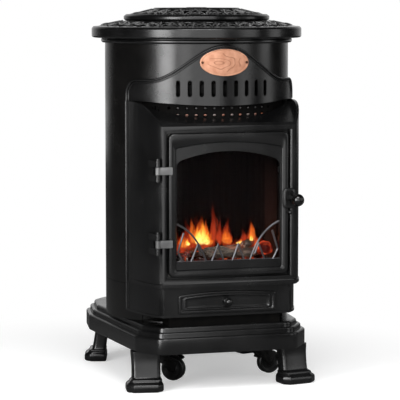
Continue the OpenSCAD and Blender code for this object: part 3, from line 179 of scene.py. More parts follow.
# %% [markdown]
# ## Finishes
# Black enamel is never one flat black: it has a fine orange-peel skin, patches that are a little
# duller, and spots that cloths have polished. Cast iron under it is also a little uneven. One group
# gives the colour, roughness and height for all of these, and each finish sets its own numbers.
# A group only hands out values; the Principled shader stays in each material, where the export reads it.


# %% The skin group
def make_skin_group():
    tree = bpy.data.node_groups.new("finish_skin", "ShaderNodeTree")
    for label, kind in (("Scale", FLOAT), ("Patch Scale", FLOAT), ("Base Roughness", FLOAT), ("Variation", FLOAT),
                        ("Base Color", COLOR), ("Patch Color", COLOR)):
        tree.interface.new_socket(name=label, in_out="INPUT", socket_type=kind)
    for label, kind in (("Color", COLOR), ("Roughness", FLOAT), ("Height", FLOAT)):
        tree.interface.new_socket(name=label, in_out="OUTPUT", socket_type=kind)
    g, value = Graph(tree), tree.nodes.new("NodeGroupInput").outputs
    place = g.place()
    mask = g.span(g.noise(place, value["Patch Scale"], 5.0), 0.35, 0.65)
    g.plug(tree.nodes.new("NodeGroupOutput"), {
        "Color": g.mix(mask, value["Base Color"], value["Patch Color"]),
        "Roughness": g.calc("ADD", g.times(g.calc("SUBTRACT", mask, 0.5), value["Variation"]), value["Base Roughness"]),
        "Height": g.noise(place, value["Scale"], 3.0)})
    return tree


skin_group = make_skin_group()


# %% Materials from the skin group
def principled(name):
    """A new material, its graph and its Principled shader."""
    mat = bpy.data.materials.new(name)
    mat.use_nodes = True
    print("finish", name)
    return mat, Graph(mat.node_tree), mat.node_tree.nodes["Principled BSDF"]


def skin_material(name, color, patch, rough, vary=0.08, scale=900.0, patch_scale=14.0, bump=0.15,
                  metallic=0.0, specular=0.5):
    mat, g, shader = principled(name)
    made = g.add("Group", {"Scale": scale, "Patch Scale": patch_scale, "Base Roughness": rough, "Variation": vary,
                           "Base Color": color, "Patch Color": patch}, node_tree=skin_group).outputs
    g.plug(shader, {"Base Color": made["Color"], "Roughness": made["Roughness"], "Metallic": metallic,
                    "Specular IOR Level": specular, "Normal": g.bump(made["Height"], bump, 0.0003)})
    return mat


enamel = skin_material("satin_enamel", (0.0030, 0.0030, 0.0031), (0.0055, 0.0055, 0.0056), 0.24)
sheet_paint = skin_material("sheet_paint", (0.0030, 0.0029, 0.0028), (0.0050, 0.0047, 0.0045), 0.25, scale=1400.0,
                            bump=0.08)
sooty_steel = skin_material("sooty_steel", (0.003, 0.0025, 0.0025), (0.008, 0.006, 0.005), 0.7, patch_scale=40.0,
                            specular=0.2)
bright_steel = skin_material("bright_zinc", (0.45, 0.45, 0.46), (0.36, 0.36, 0.37), 0.3, metallic=1.0)
worn_steel = skin_material("worn_strap", (0.16, 0.16, 0.16), (0.10, 0.10, 0.10), 0.42, metallic=0.55, bump=0.3)
brass = skin_material("machined_brass", (0.62, 0.45, 0.18), (0.5, 0.36, 0.14), 0.28, metallic=1.0)
copper = skin_material("copper_pipe", (0.72, 0.38, 0.24), (0.62, 0.30, 0.18), 0.32, metallic=1.0)
bronze = skin_material("dark_bronze", (0.10, 0.04, 0.02), (0.05, 0.02, 0.012), 0.4, metallic=0.8)
gloss = skin_material("black_gloss", (0.002, 0.002, 0.002), (0.003, 0.003, 0.003), 0.12, vary=0.04, bump=0.02)
red_gloss = skin_material("red_gloss", (0.42, 0.02, 0.015), (0.36, 0.02, 0.015), 0.2, bump=0.05)
fret_steel = skin_material("fret_steel", (0.075, 0.075, 0.08), (0.045, 0.045, 0.05), 0.36, metallic=0.6)
# Painted shade: a near-black, dull finish for parts that sit in deep shadow
painted_shade_black = skin_material("painted_shade_black", (0.0020, 0.0020, 0.0020), (0.0040, 0.0036, 0.0032), 0.8,
                            patch_scale=40.0, specular=0.06)
tread = skin_material("castor_black", (0.003, 0.003, 0.003), (0.006, 0.006, 0.006), 0.34)
lining = skin_material("sooted_lining", (0.0010, 0.0009, 0.0010), (0.0022, 0.0016, 0.0015), 0.95, patch_scale=30.0,
                       bump=0.5, specular=0.03)

# %% [markdown]
# The fire's light on the fluted lining of the right-hand wall is painted on as a dull red emission,
# strongest near the coals. The bands of a wave texture give the lit flutes.

# %% Painted firelight on the lining
g, shader = Graph(lining.node_tree), lining.node_tree.nodes["Principled BSDF"]
place = g.place()
part = g.add("SeparateXYZ", {0: place}).outputs
flute = g.out("TexWave", {"Vector": place, "Scale": 26.0}, "Fac", bands_direction="Y")
# Painted firelight: a red emission on the right-hand lining, strongest low down and banded by the flutes
glow_and_painted_firelight = g.times(g.span(part["Z"], 0.29, 0.46, 1.0, 0.0), g.span(part["X"], 0.070, 0.114), g.calc("ADD", flute, 0.15))
g.plug(shader, {"Emission Color": g.mix(glow_and_painted_firelight, (0, 0, 0), (0.020, 0.0065, 0.004)), "Emission Strength": 1.0})

# %% [markdown]
# The window is a thin clear sheet, so a refraction index close to that of air keeps the fire where
# it is. The rope seal is woven: bands broken up by a fine noise give the strands.

# %% Glass and rope
glass, g, shader = principled("window_glass")
g.plug(shader, {"Base Color": (1, 1, 1), "Roughness": 0.03, "Transmission Weight": 1.0, "IOR": 1.08})

rope, g, shader = principled("rope_seal")
place = g.place()
bands = g.out("TexWave", {"Vector": place, "Scale": 180.0}, "Fac", bands_direction="DIAGONAL")
strands = g.times(bands, g.noise(place, 900.0, 2.0))
g.plug(shader, {"Base Color": g.mix(strands, (0.05, 0.05, 0.045), (0.16, 0.16, 0.15)), "Roughness": 0.9,
                "Normal": g.bump(strands, 0.7, 0.0006)})

# %% [markdown]
# ## Finishes for the solids
# Every CAD solid names a material slot in the record. The slot picks the finish, so nothing is left
# in the viewer's grey, and the pieces made below use the same finishes. Four nodes differ from their slot.

# %% Finish by slot
finish_of = {
    "cast_iron": enamel, "black_sheet": sheet_paint, "fire_sheet": sooty_steel, "bright_steel": bright_steel,
    "copper_plate": copper, "gas_brass": brass, "gas_copper": copper, "fibre_lining": lining,
    "fibre_coal": lining, "fibre_log": lining, "window_glass": glass, "rope_seal": rope,
    "fret_steel": fret_steel, "black_knob": gloss, "red_button": red_gloss, "castor_tread": tread,
}
# The kick panel and the outlet grille get the painted shade black, for the dark gap under the cabinet and the recess
# under the hood
own_finish = {"badge_screws": bronze, "hinge_pins": gloss, "kick_panel": painted_shade_black, "outlet_grille": painted_shade_black}
for name, node in nodes.items():
    node.data.materials.clear()
    node.data.materials.append(own_finish.get(name, finish_of[slot_of[name]]))
print(len(nodes), "CAD nodes finished")

# %% [markdown]
# ## Helpers for castings
# Most pieces are skins over rings of points: a plinth is one outline drawn in and raised step by
# step, a turned ring is a circle that changes its radius, and a leg is a rounded box that changes its
# size. So one helper joins rings, and a few others make the outlines.


# %% Outlines
def inset(points, d):
    """A closed outline that runs anticlockwise, drawn in by d, with mitred corners."""
    result = []
    for i, (x, y) in enumerate(points):
        before, after = points[i - 1], points[(i + 1) % len(points)]
        sides = (x - before[0], y - before[1]), (after[0] - x, after[1] - y)
        (p, q), (r, s) = ((-v / hypot(u, v), u / hypot(u, v)) for u, v in sides)
        reach = d / (1 + p * r + q * s)
        result.append((x + reach * (p + r), y + reach * (q + s)))
    return result


def rounded(points, radius, steps=5, even=False):
    """A closed outline with rounded corners; radius is one number, or one for each corner.

    With even set, a sharp corner gives as many points as a round one."""
    result = []
    for i, b in enumerate(points):
        r = radius[i] if isinstance(radius, (list, tuple)) else radius
        a, b, c = Vector(points[i - 1]), Vector(b), Vector(points[(i + 1) % len(points)])
        u, v = (a - b).normalized(), (c - b).normalized()
        half = u.angle(v, pi) / 2
        if r <= 0 or half > radians(89):
            result += [tuple(b)] * (steps + 1 if even else 1)
            continue
        reach = min(r / tan(half), 0.49 * (a - b).length, 0.49 * (c - b).length)
        middle = b + (u + v).normalized() * reach / cos(half)
        p, q = b + u * reach - middle, b + v * reach - middle
        sweep = p.angle_signed(q, 0.0)
        for k in range(steps + 1):
            t = -sweep * k / steps
            result.append((middle.x + p.x * cos(t) - p.y * sin(t), middle.y + p.x * sin(t) + p.y * cos(t)))
    return result


def bezier(a, c, b, steps):
    """Points on the curve from a to b that is pulled towards c."""
    return [tuple(p * (1 - t) ** 2 + q * 2 * t * (1 - t) + r * t * t for p, q, r in zip(a, c, b))
            for t in (i / steps for i in range(steps + 1))]


# %% Skins
def skin(rings, close=False, caps=False):
    """Points and faces that join neighbouring rings of equal length."""
    n = len(rings[0])
    verts = [point for ring in rings for point in ring]
    faces = []
    for i in range(len(rings) if close else len(rings) - 1):
        a, b = i * n, (i + 1) % len(rings) * n
        faces += [(a + j, a + (j + 1) % n, b + (j + 1) % n, b + j) for j in range(n)]
    if caps:
        faces += [tuple(range(n)), tuple(range(len(verts) - n, len(verts)))]
    return verts, faces


def turned(profile, steps=96):
    """A closed profile of (radius, height) points turned round the upright axis."""
    return skin([[(r * cos(a), r * sin(a), z) for a in around(steps)] for r, z in profile], close=True)


def turned_forwards(profile, x, z, steps):
    """A profile of (radius, distance in front of the axis) points turned round an axis along Y."""
    return skin([[(x + r * cos(a), -d, z + r * sin(a)) for a in around(steps)] for r, d in profile])


# %% Meshes and pieces
def mesh_from(bm):
    mesh = bpy.data.meshes.new("made")
    bm.to_mesh(mesh)
    bm.free()
    return mesh


def shape(skins, weld=0.000002):
    """One mesh from several skins, with its doubles merged and its faces turned outwards."""
    bm = bmesh.new()
    for verts, faces in skins:
        made = [bm.verts.new(at(*point)) for point in verts]
        for face in faces:
            bm.faces.new([made[i] for i in face])
    bmesh.ops.remove_doubles(bm, verts=bm.verts, dist=weld)
    bmesh.ops.recalc_face_normals(bm, faces=bm.faces)
    return mesh_from(bm)


def join(meshes):
    """Several meshes copied into one."""
    bm = bmesh.new()
    for mesh in meshes:
        bm.from_mesh(mesh)
        bpy.data.meshes.remove(mesh)
    return mesh_from(bm)


def dress(mesh, name, finish, node, sharp=38, stands_in=True):
    """A finished mesh made into a piece that rides with a CAD node's body, and mostly stands in for it."""
    mesh.name = name
    mesh.materials.clear()
    mesh.materials.append(finish)
    mesh.shade_smooth()
    mesh.set_sharp_from_angle(angle=radians(sharp))
    piece = bpy.data.objects.new(name, mesh)
    scene.collection.objects.link(piece)
    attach(piece, body_of[node])
    if stands_in:
        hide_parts(node)
    print(name, len(mesh.polygons), "faces")
    return piece


# %% [markdown]
# ## Castings that only need soft edges
# Where a CAD solid already has the right shape, a copy of it gets the small radius that every casting
# leaves the mould with. The copy's loose triangles are merged and its flat faces joined again first,
# because a Bevel modifier only follows clean edges.


# %% Soft-edged copies of CAD solids
def soft_copy(node, width, finish=None):
    """A copy of a CAD node with merged faces and a rounded edge of the given width in millimetres."""
    bm = bmesh.new()
    bm.from_mesh(nodes[node].data)
    bmesh.ops.remove_doubles(bm, verts=bm.verts, dist=0.00001)
    bmesh.ops.dissolve_limit(bm, angle_limit=radians(0.6), verts=bm.verts, edges=bm.edges)
    piece = dress(mesh_from(bm), node + "_soft", finish or finish_of[slot_of[node]], node, 30)
    if width:
        bevel = piece.modifiers.new("edge", "BEVEL")
        bevel.width = width / 1000
        bevel.segments = 2
        bevel.limit_method = "ANGLE"
        bevel.angle_limit = radians(28)
        bevel.harden_normals = True
        bevel.use_clamp_overlap = True


soft_edges = {
    "front_casting": 1.4, "lower_casting": 1.4, "shoulder_plate": 1.0, "hinge_brackets": 1.0,
    "hood_band": 0, "castor_fork_1": 0.7, "castor_fork_2": 0.7, "castor_fork_3": 0.7,
    "castor_fork_4": 0.7, "lid_bracket": 0.8, "rear_pull": 0, "latch_knob": 0, "control_knob": 0.6,
}
for node, width in soft_edges.items():
    soft_copy(node, width)
soft_copy("door_straps", 0.9, worn_steel)

# %% [markdown]
# ## Plinth
# The plinth is one casting with eight sides: an upright lip, then two rounded steps. A sweep is the
# natural way to make it: the section is drawn once, as distances in from the outline, and each point
# of the section becomes one ring of the outline drawn in by that much.

# %% Plinth
plinth_right = [(142, -231), (180, -176), (204, 120), (190, 205), (150, 250)]
plinth_outline = plinth_right + [(-x, y) for x, y in reversed(plinth_right)]
PLINTH_CORNER = 26
DECK_HOLE, DECK_TOP, DECK_FOOT = 92, 133, 128
plinth_section = rounded(
    [(0, 80), (0, 113), (7, 113.4), (8.5, 111.6), (8.5, 123), (14.5, 123.6), (17, 121.4), (17, DECK_TOP),
     (26, DECK_TOP), (26, DECK_FOOT), (22, DECK_FOOT), (22, 107), (7, 107), (7, 80)],
    [2.4, 4.2, 0.6, 0.4, 4.0, 0.8, 0.5, 4.2, 0, 0, 0, 0, 0, 1.5], 4)


def plinth_ring(d, z):
    return [(x, y, z) for x, y in rounded(inset(plinth_outline, d), PLINTH_CORNER, 7)]


def hole_ring(z):
    return [(DECK_HOLE * cos(a), DECK_HOLE * sin(a), z) for a in (atan2(y, x) for x, y, _ in plinth_ring(0, z))]


turn_in = plinth_section.index((26, DECK_TOP))
plinth_rings = [plinth_ring(*point) for point in plinth_section]
plinth_rings[turn_in + 1:turn_in + 1] = [hole_ring(DECK_TOP), hole_ring(DECK_FOOT)]
dress(shape([skin(plinth_rings, close=True)]), "plinth", enamel, "base_plinth", 32)

# %% [markdown]
# ## Legs
# Each leg is a broad rounded column that leans outwards, a bead at its ankle, and a foot block with a
# chamfered toe. A loft does this: level slices are listed from the floor up, close together at the
# bead and the foot, where they keep the edges crisp. A toe of 1 or less means a round corner.

# %% Legs
leg_slices = [
    # height, width, inner reach, outer reach, corner radius, toe chamfer
    (0, 62, 6, 35, 4, 10), (1.2, 65, 7, 38, 5, 11), (4, 68, 8, 40, 6, 12), (12.5, 68, 8, 40, 6, 12),
    (15.5, 67, 7.8, 38.5, 6, 11), (18, 64, 7, 34.5, 6, 9), (20, 61.5, 6.6, 31.6, 6, 8), (21.2, 61.6, 6.8, 30.6, 7, 6),
    (23.2, 62.2, 7.2, 30.0, 7, 5), (25, 61.4, 6.8, 28.6, 7, 3), (26, 59.4, 6.2, 26.0, 7, 1),
    (27.2, 58.4, 6.4, 23.4, 12, 0), (30, 58, 6.8, 22.4, 14, 0), (36, 57.6, 7.6, 21.2, 15, 0),
    (44, 57.6, 8.8, 19.8, 16, 0), (54, 58, 10.6, 18.2, 16, 0), (62, 58.8, 12.2, 17.0, 16, 0),
    (69, 60.0, 13.6, 16.6, 15, 0), (75, 60.8, 14.4, 16.2, 13, 0), (80, 61.0, 15, 16, 12, 0),
]
leg_places = {"leg_front_left": (-155, -161, -10), "leg_front_right": (155, -161, 10),
              "leg_rear_left": (-154, 198, -106), "leg_rear_right": (154, 198, 106)}
TOE_SPREAD, TOE_TOP, TOE_FADE = 7.0, 26, 9


def leg_ring(width, inner, outer, corner, toe):
    half = width / 2
    across, back = (toe, toe) if toe > 1 else (0, 17)
    outline = [(-half, back - outer), (across - half, -outer), (half - across, -outer), (half, back - outer),
               (half, inner), (-half, inner)]
    radii = [3.0] * 4 + [corner] * 2 if toe > 1 else [0, corner, corner, 0, corner, corner]
    return rounded(outline, radii, 5, even=True)


def turned_to(x, y, angle, points):
    """Points (along, across, z) of a part that is turned by an angle and set down at x, y."""
    c, s = cos(radians(angle)), sin(radians(angle))
    return [(x + c * u - s * v, y + s * u + c * v, z) for u, v, z in points]


for node, (x, y, angle) in leg_places.items():
    side = copysign(1.0, x)
    rings = []
    for z, *level in leg_slices:
        # The front toes reach a little further outwards, as the fading factor says
        toe_out = TOE_SPREAD * min(1.0, max(0.0, (TOE_TOP - z) / TOE_FADE)) if y < 0 else 0.0
        ring = [(u + side * toe_out * max(0.0, side * u / 34), v, z) for u, v in leg_ring(*level)]
        rings.append(turned_to(x, y, angle, ring))
    dress(shape([skin(rings, caps=True)]), node + "_cast", enamel, node, 50)

# %% [markdown]
# ## Castor wheels
# A castor wheel is a turned part with a domed tread, a groove, a dished web and a hub cap. Its rings
# are drawn once about the axle and placed at each castor.

# %% Castor wheels
CASTOR_TRAIL, AXLE_Z = 30, 29
wheel_half = rounded([(3.2, 8.6), (6.5, 8.6), (8, 7.4), (9.5, 5.2), (17, 5.2), (19, 7.6), (22.5, 8), (26, 5.0)],
                     [0, 1, 0.8, 1, 1, 1, 1.2, 2.6], 3)
wheel_profile = wheel_half + [(r, -w) for r, w in reversed(wheel_half)]
castor_places = [(-104, -84, -36), (104, -84, 10), (-92, 150, 76), (92, 150, 104)]
wheel_rings = [[(CASTOR_TRAIL + r * cos(a), w, AXLE_Z + r * sin(a)) for a in around(48)] for r, w in wheel_profile]
for i, spot in enumerate(castor_places, 1):
    name = "wheel_%d_turned" % i
    dress(shape([skin([turned_to(*spot, ring) for ring in wheel_rings], close=True)]), name, tread,
          "castor_wheel_%d" % i, 30)

# %% [markdown]
# ## Neck moulding and top casting
# Both are turned. The top casting's outer wall is thick with soft edges. Its sloping crown is open
# fretwork between two plain rings, which lets the warm air out.

# %% Turned rings of the top
neck_profile = rounded([(190.7, 695), (196, 695), (198.6, 698), (198.6, 701.5), (196.4, 703.4), (196.4, 705),
                        (190.7, 705)], [0, 1.5, 1.6, 1.6, 0.6, 0.4, 0], 4)
dress(shape([turned(neck_profile, 128)]), "neck_moulding", enamel, "neck_ring", 34)
rim_profile = rounded([(186.5, 705), (213, 705), (218, 706.5), (218, 724), (214.5, 728), (206, 728.6), (198, 730.4),
                       (195, 727.6), (205, 719), (207, 711), (186.5, 711)],
                      [0, 1.5, 3.5, 5.0, 3.0, 2, 2.4, 1.5, 1, 1, 0], 5)
inner_profile = rounded([(159, 739), (150, 739), (148, 737.5), (148, 733), (154, 732), (160, 735.5)],
                        [2.2, 1.2, 1, 0.8, 1, 1.6], 4)
top_rings = shape([turned(rim_profile, 128), turned(inner_profile, 96)])

# %% [markdown]
# ## Scroll fretwork
# The open crown and the lid carry rings of cast scrolls: a pair of spirals, back to back, with a leaf
# between them. The same motif repeats all the way round, so Geometry Nodes make it: spirals are swept
# with a round section, mirrored, tilted on to the cone and set on a circle of points.


# %% Helpers for Geometry Nodes
def geometry_tree(name, labels):
    """A Geometry Nodes tree with a named input for each label; returns its graph and these inputs."""
    tree = bpy.data.node_groups.new(name, "GeometryNodeTree")
    kinds = {"Count": "NodeSocketInt", "Finish": "NodeSocketMaterial"}
    for label in labels:
        tree.interface.new_socket(name=label, in_out="INPUT", socket_type=kinds.get(label, FLOAT))
    tree.interface.new_socket(name="Mesh", in_out="OUTPUT", socket_type="NodeSocketGeometry")
    return Graph(tree), tree.nodes.new("NodeGroupInput").outputs


def finished(g, mesh, finish):
    """The tree of a graph, closed with its material and its output."""
    g.plug(g.tree.nodes.new("NodeGroupOutput"), {0: g.geo("SetMaterial", {0: mesh, "Material": finish})})
    return g.tree


def grow(tree, name, **inputs):
    """The plain mesh that a Geometry Nodes tree makes with these inputs."""
    holder = bpy.data.objects.new(name, bpy.data.meshes.new(name + "_seed"))
    scene.collection.objects.link(holder)
    modifier = holder.modifiers.new(name, "NODES")
    modifier.node_group = tree
    for socket in tree.interface.items_tree:
        if socket.in_out == "INPUT":
            modifier[socket.identifier] = inputs[socket.name]
    holder.update_tag()
    mesh = bpy.data.meshes.new_from_object(holder.evaluated_get(bpy.context.evaluated_depsgraph_get()))
    bpy.data.objects.remove(holder)
    return mesh


# %% A ring of scrolls
def scroll_ring_tree():
    g, value = geometry_tree("scroll_ring", ("Count", "Radius", "Height", "Reach", "Spread", "Thickness", "Slope",
                                             "Finish"))
    reach, spread = value["Reach"], value["Spread"]
    section = g.geo("CurvePrimitiveCircle", {"Resolution": 6, "Radius": value["Thickness"]})

    def swept(curve):
        return g.geo("CurveToMesh", {0: curve, 1: section, "Fill Caps": True})

    big = g.times(spread, 0.235)
    spiral = swept(g.geo("CurveSpiral", {"Resolution": 14, "Rotations": 1.15, "Start Radius": g.times(big, 0.28),
                                         "End Radius": big, "Height": 0.0}))
    outer = g.geo("Transform", {0: spiral, "Translation": g.vector(big, g.times(reach, 0.20), 0.0),
                                "Rotation": (0.0, 0.0, 2.7)})
    inner = g.geo("Transform", {0: spiral, "Translation": g.vector(g.times(big, 0.86), g.times(reach, -0.27), 0.0),
                                "Rotation": (pi, 0.0, 2.2), "Scale": (0.72, 0.72, 0.72)})
    stem = g.geo("CurvePrimitiveBezierSegment", {
        "Resolution": 8, "Start": g.vector(0.0, g.times(reach, -0.5), 0.0),
        "Start Handle": g.vector(0.0, g.times(reach, -0.1), 0.0),
        "End Handle": g.vector(g.times(spread, 0.5), 0.0, 0.0),
        "End": g.vector(g.times(spread, 0.5), g.times(reach, 0.5), 0.0)})
    half = g.joined(outer, inner, swept(stem))
    other_half = g.geo("FlipFaces", {0: g.geo("Transform", {0: half, "Scale": (-1.0, 1.0, 1.0)})})
    bead = g.geo("MeshUVSphere", {"Segments": 8, "Rings": 6, "Radius": g.times(value["Thickness"], 1.7)})
    leaf = g.geo("Transform", {0: bead, "Scale": (1.0, 2.6, 0.8),
                               "Translation": g.vector(0.0, g.times(reach, 0.30), 0.0)})
    motif = g.joined(half, other_half, leaf)
    ring = g.geo("MeshCircle", {"Vertices": value["Count"], "Radius": value["Radius"]})
    angle = g.calc("DIVIDE", g.times(g.geo("InputIndex"), tau), value["Count"])
    facing = g.vector(g.times(value["Slope"], -1.0), 0.0, g.calc("SUBTRACT", angle, pi / 2))
    copies = g.geo("InstanceOnPoints", {"Points": ring, "Instance": motif, "Rotation": facing})
    raised = g.geo("Transform", {0: g.geo("RealizeInstances", {0: copies}),
                                 "Translation": g.vector(0.0, axis_y, value["Height"])})
    return finished(g, raised, value["Finish"])


# %% Top casting
scroll_tree = scroll_ring_tree()
crown_scrolls = grow(scroll_tree, "crown_scrolls", Count=24, Radius=0.178, Height=0.7342, Reach=0.040,
                     Spread=0.0466, Thickness=0.0023, Slope=radians(12), Finish=enamel)
print("crown scrolls", len(crown_scrolls.polygons), "faces")
dress(join([top_rings, crown_scrolls]), "top_casting", enamel, "top_ring")

# %% [markdown]
# ## Lid
# The lid has the same make-up: a thick rolled rim, a ring of scrolls on a shallow cone, and a flat
# centre with turned beads and a small rosette. The hinge knuckle and its arm are cast with it.

# %% Lid
lid_rim = rounded([(137, 746), (140, 740.2), (147, 739.3), (151.5, 743), (151.5, 749), (146, 753), (139, 752.6)],
                  [2, 2, 3, 3, 3.2, 3, 2], 5)
lid_disc = rounded([(0, 759), (0, 765.3), (14, 765.3), (16, 767.2), (21, 767.2), (23, 765.3), (56, 764.3),
                    (59, 766.2), (64, 766.2), (67, 764.3), (79, 763.8), (83, 766.2), (88, 766.2), (92, 761.5),
                    (91, 757.5), (84, 757.5)],
                   [0, 0, 0.6, 1.2, 1.2, 0.6, 0.6, 1.4, 1.4, 0.6, 0.6, 1.8, 2.4, 2.6, 1, 0.6], 4)
PETALS, PETAL_Z, PETAL_FOOT, PETAL_LENGTH, PETAL_HALF, PETAL_RISE = 12, 764.6, 26, 27, 4.6, 1.8
petal_rings = []
for t in (0.0, 0.12, 0.3, 0.5, 0.7, 0.88, 1.0):
    half, rise = max(0.05, PETAL_HALF * sin(pi * t) ** 0.7), PETAL_RISE * sin(pi * t) ** 0.5
    petal_rings.append([(PETAL_FOOT + PETAL_LENGTH * t, half * cos(a), PETAL_Z + rise * sin(a)) for a in around(10)])
petals = [skin([turned_to(0, 0, 360 / PETALS * i, ring) for ring in petal_rings], caps=True) for i in range(PETALS)]

HINGE_Y, HINGE_Z, HINGE_HALF = 159.5, 745.3, 12
KNUCKLE_R, PIN_R = 4.0, 2.05
knuckle = skin([[(x, HINGE_Y + r * cos(a), HINGE_Z + r * sin(a)) for a in around(24)]
                for x, r in ((-HINGE_HALF, KNUCKLE_R), (HINGE_HALF, KNUCKLE_R), (HINGE_HALF, PIN_R),
                             (-HINGE_HALF, PIN_R))], close=True)
arm_section = rounded([(147, 741.5), (158, 741.5), (158, 747.5), (147, 748)], 1.2, 3)
arm = skin([[(x, y, z) for y, z in arm_section] for x in (-HINGE_HALF, HINGE_HALF)], caps=True)
lid_scrolls = grow(scroll_tree, "lid_scrolls", Count=20, Radius=0.1145, Height=0.7575, Reach=0.046,
                   Spread=0.0360, Thickness=0.0019, Slope=radians(14), Finish=enamel)
lid_plain = shape([turned(lid_rim), turned(lid_disc), knuckle, arm] + petals)
dress(join([lid_plain, lid_scrolls]), "lid_casting", enamel, "domed_lid")

# %% [markdown]
# ## Hood rim
# A double bead runs up each end of the hood and along its wave. The rule for the wave is a cosine, the
# same one as in the CAD. The bead is swept along it: at each step the section is set square to the
# path, with one axis along the band and the other straight out from the cabinet.

# %% Hood rim
BAND_R, HOOD_HALF, WAVE_HALF = 199.5, 62.0, 45.0
HOOD_END_Z, WAVE_Z, WAVE_RISE = 580.5, 624.5, 69.0
END_ROUND, END_DROP = 8.0, 34.0


def wave(deg):
    """Height of the hood's upper edge at an angle from the front."""
    return WAVE_Z + WAVE_RISE * (1 + cos(pi * min(deg, WAVE_HALF) / WAVE_HALF)) / 2


def from_front(angle, r, z):
    """A point at an angle from the front, at a radius and a height."""
    return r * sin(angle), -r * cos(angle), z


def bead(middle, r, half, rise, steps):
    """Half an ellipse that stands out of the band, as (distance in from the edge, radius) points."""
    return [(middle - half * cos(pi * k / steps), r + rise * sin(pi * k / steps)) for k in range(steps + 1)]


right = [(float(deg), wave(deg)) for deg in range(int(HOOD_HALF - END_ROUND))]
right += [(HOOD_HALF - END_ROUND + END_ROUND * sin(a), WAVE_Z - END_DROP * (1 - cos(a)))
          for a in (pi / 2 * i / 12 for i in range(13))]
right += [(HOOD_HALF, z) for z in (587.0, 583.0, HOOD_END_Z + 0.4)]
path = [(-deg, z) for deg, z in reversed(right[1:])] + right
rim_section = [(0.0, 190.8), (-0.2, 198.8)] + bead(2.3, 198.8, 2.5, 4.2, 8) + bead(6.9, 199.0, 1.7, 2.2, 6)
rim_section += [(8.6, 197.0), (3.0, 196.6), (3.0, 190.8)]
rim_rings = []
for i, (deg, z) in enumerate(path):
    (before, low), (after, high) = path[max(i - 1, 0)], path[min(i + 1, len(path) - 1)]
    du, dz = radians(after - before) * BAND_R, high - low
    length = hypot(du, dz)
    rim_rings.append([from_front(radians(deg) + d * dz / length / BAND_R, r, z - d * du / length)
                      for d, r in rim_section])
dress(shape([skin(rim_rings, caps=True)]), "hood_bead", enamel, "hood_rim", 50)

# %% [markdown]
# ## Oval plate
# The hood carries a slightly domed copper oval with a rolled edge, held by two small screws. It is
# built on rings of an ellipse and wrapped on to the hood, so it lies flush on the curved band. Its
# only decoration is a few plain engraved sweeps, which a distorted ring texture gives.

# %% Oval plate
PLATE_Z, PLATE_WIDTH, PLATE_HEIGHT = 658.5, 101.0, 54.0
plate_levels = [
    # share of the full oval, height over the band
    (0.0, 0.2), (0.5, 0.2), (1.0, 0.2), (1.0, 1.2), (0.985, 1.7), (0.955, 2.0), (0.93, 1.7), (0.915, 1.35),
    (0.90, 1.25), (0.885, 1.35), (0.87, 1.5), (0.7, 1.65), (0.5, 1.8), (0.3, 1.9), (0.12, 1.95), (0.0, 1.95),
]
plate_rings = [[from_front(asin(share * PLATE_WIDTH / 2 * cos(a) / BAND_R), BAND_R + rise,
                           PLATE_Z + share * PLATE_HEIGHT / 2 * sin(a)) for a in around(96)]
               for share, rise in plate_levels]

brushed_copper, g, shader = principled("brushed_copper")
place = g.place()
brush = g.noise(g.mapped(place, Scale=(60.0, 60.0, 1500.0)), 1.0, 4.0)
cloud = g.span(g.noise(place, 70.0, 4.0), 0.35, 0.68)
centred = g.mapped(place, Location=(0.0, 0.0, -PLATE_Z / 1000))
oval = g.mapped(centred, Scale=(2000 / PLATE_WIDTH, 0.0, 2000 / PLATE_HEIGHT))
inside = g.span(g.out("VectorMath", {0: oval}, "Value", operation="LENGTH"), 0.66, 0.74, 1.0, 0.0)
flat = g.mapped(centred, Scale=(1.0, 0.0, 2.0), Location=(0.014, 0.0, 0.004))
sweep = g.out("TexWave", {"Vector": flat, "Scale": 21.0, "Distortion": 7.0, "Detail": 0.0, "Detail Scale": 1.6},
              "Fac", wave_type="RINGS", rings_direction="SPHERICAL")
engraved = g.times(g.span(sweep, 0.90, 0.97), inside, 0.6)
g.plug(shader, {
    "Base Color": g.mix(engraved, g.mix(cloud, (0.43, 0.195, 0.115), (0.56, 0.285, 0.18)), (0.19, 0.07, 0.035)),
    "Roughness": g.span(brush, 0.0, 1.0, 0.34, 0.5), "Metallic": 0.45, "Normal": g.bump(brush, 0.25, 0.0002)})
dress(shape([skin(plate_rings)]), "oval_plate", brushed_copper, "badge_plate", 60)

# %% [markdown]
# ## Door
# The door is a flat casting with a rounded edge. Its front is sunk round the window: the head of the
# recess and the head of the window are both arched. Thirteen outlines, all with the same number of
# points, give the whole casting; the sloping wall of the recess catches the light at the right. A lug
# for the latch is a skin of its own, and the small stud under the knob is turned.

# %% Door
DOOR_FACE, DOOR_BACK = 229.0, 217.0
DOOR_HALF, DOOR_FOOT, DOOR_HEAD = 124.5, 234.5, 520.5
DOOR_CORNER, DOOR_EDGE = 12.0, 3.4


def framed(half, low, spring, rise, low_r, top_r, depth):
    """A ring with a square foot, straight sides and a flat or arched head, at a depth from the axis."""
    edge = half - top_r

    def head(x):
        return spring + rise * (1 - (x / half) ** 2)

    def corner(x, start):
        return [(x + low_r * cos(a), low + low_r + low_r * sin(a)) for a in (radians(start + 15 * k) for k in range(7))]

    top = head(edge) - 2 * rise * edge * top_r / half ** 2
    right = bezier((half, top - top_r), (half, top), (edge, head(edge)), 6)
    arch = [(edge * (1 - i / 10), head(edge * (1 - i / 10))) for i in range(1, 20)]
    outline = corner(-half + low_r, 180) + corner(half - low_r, 270) + right + arch
    return [(x, -depth, z) for x, z in outline + [(-x, z) for x, z in reversed(right)]]


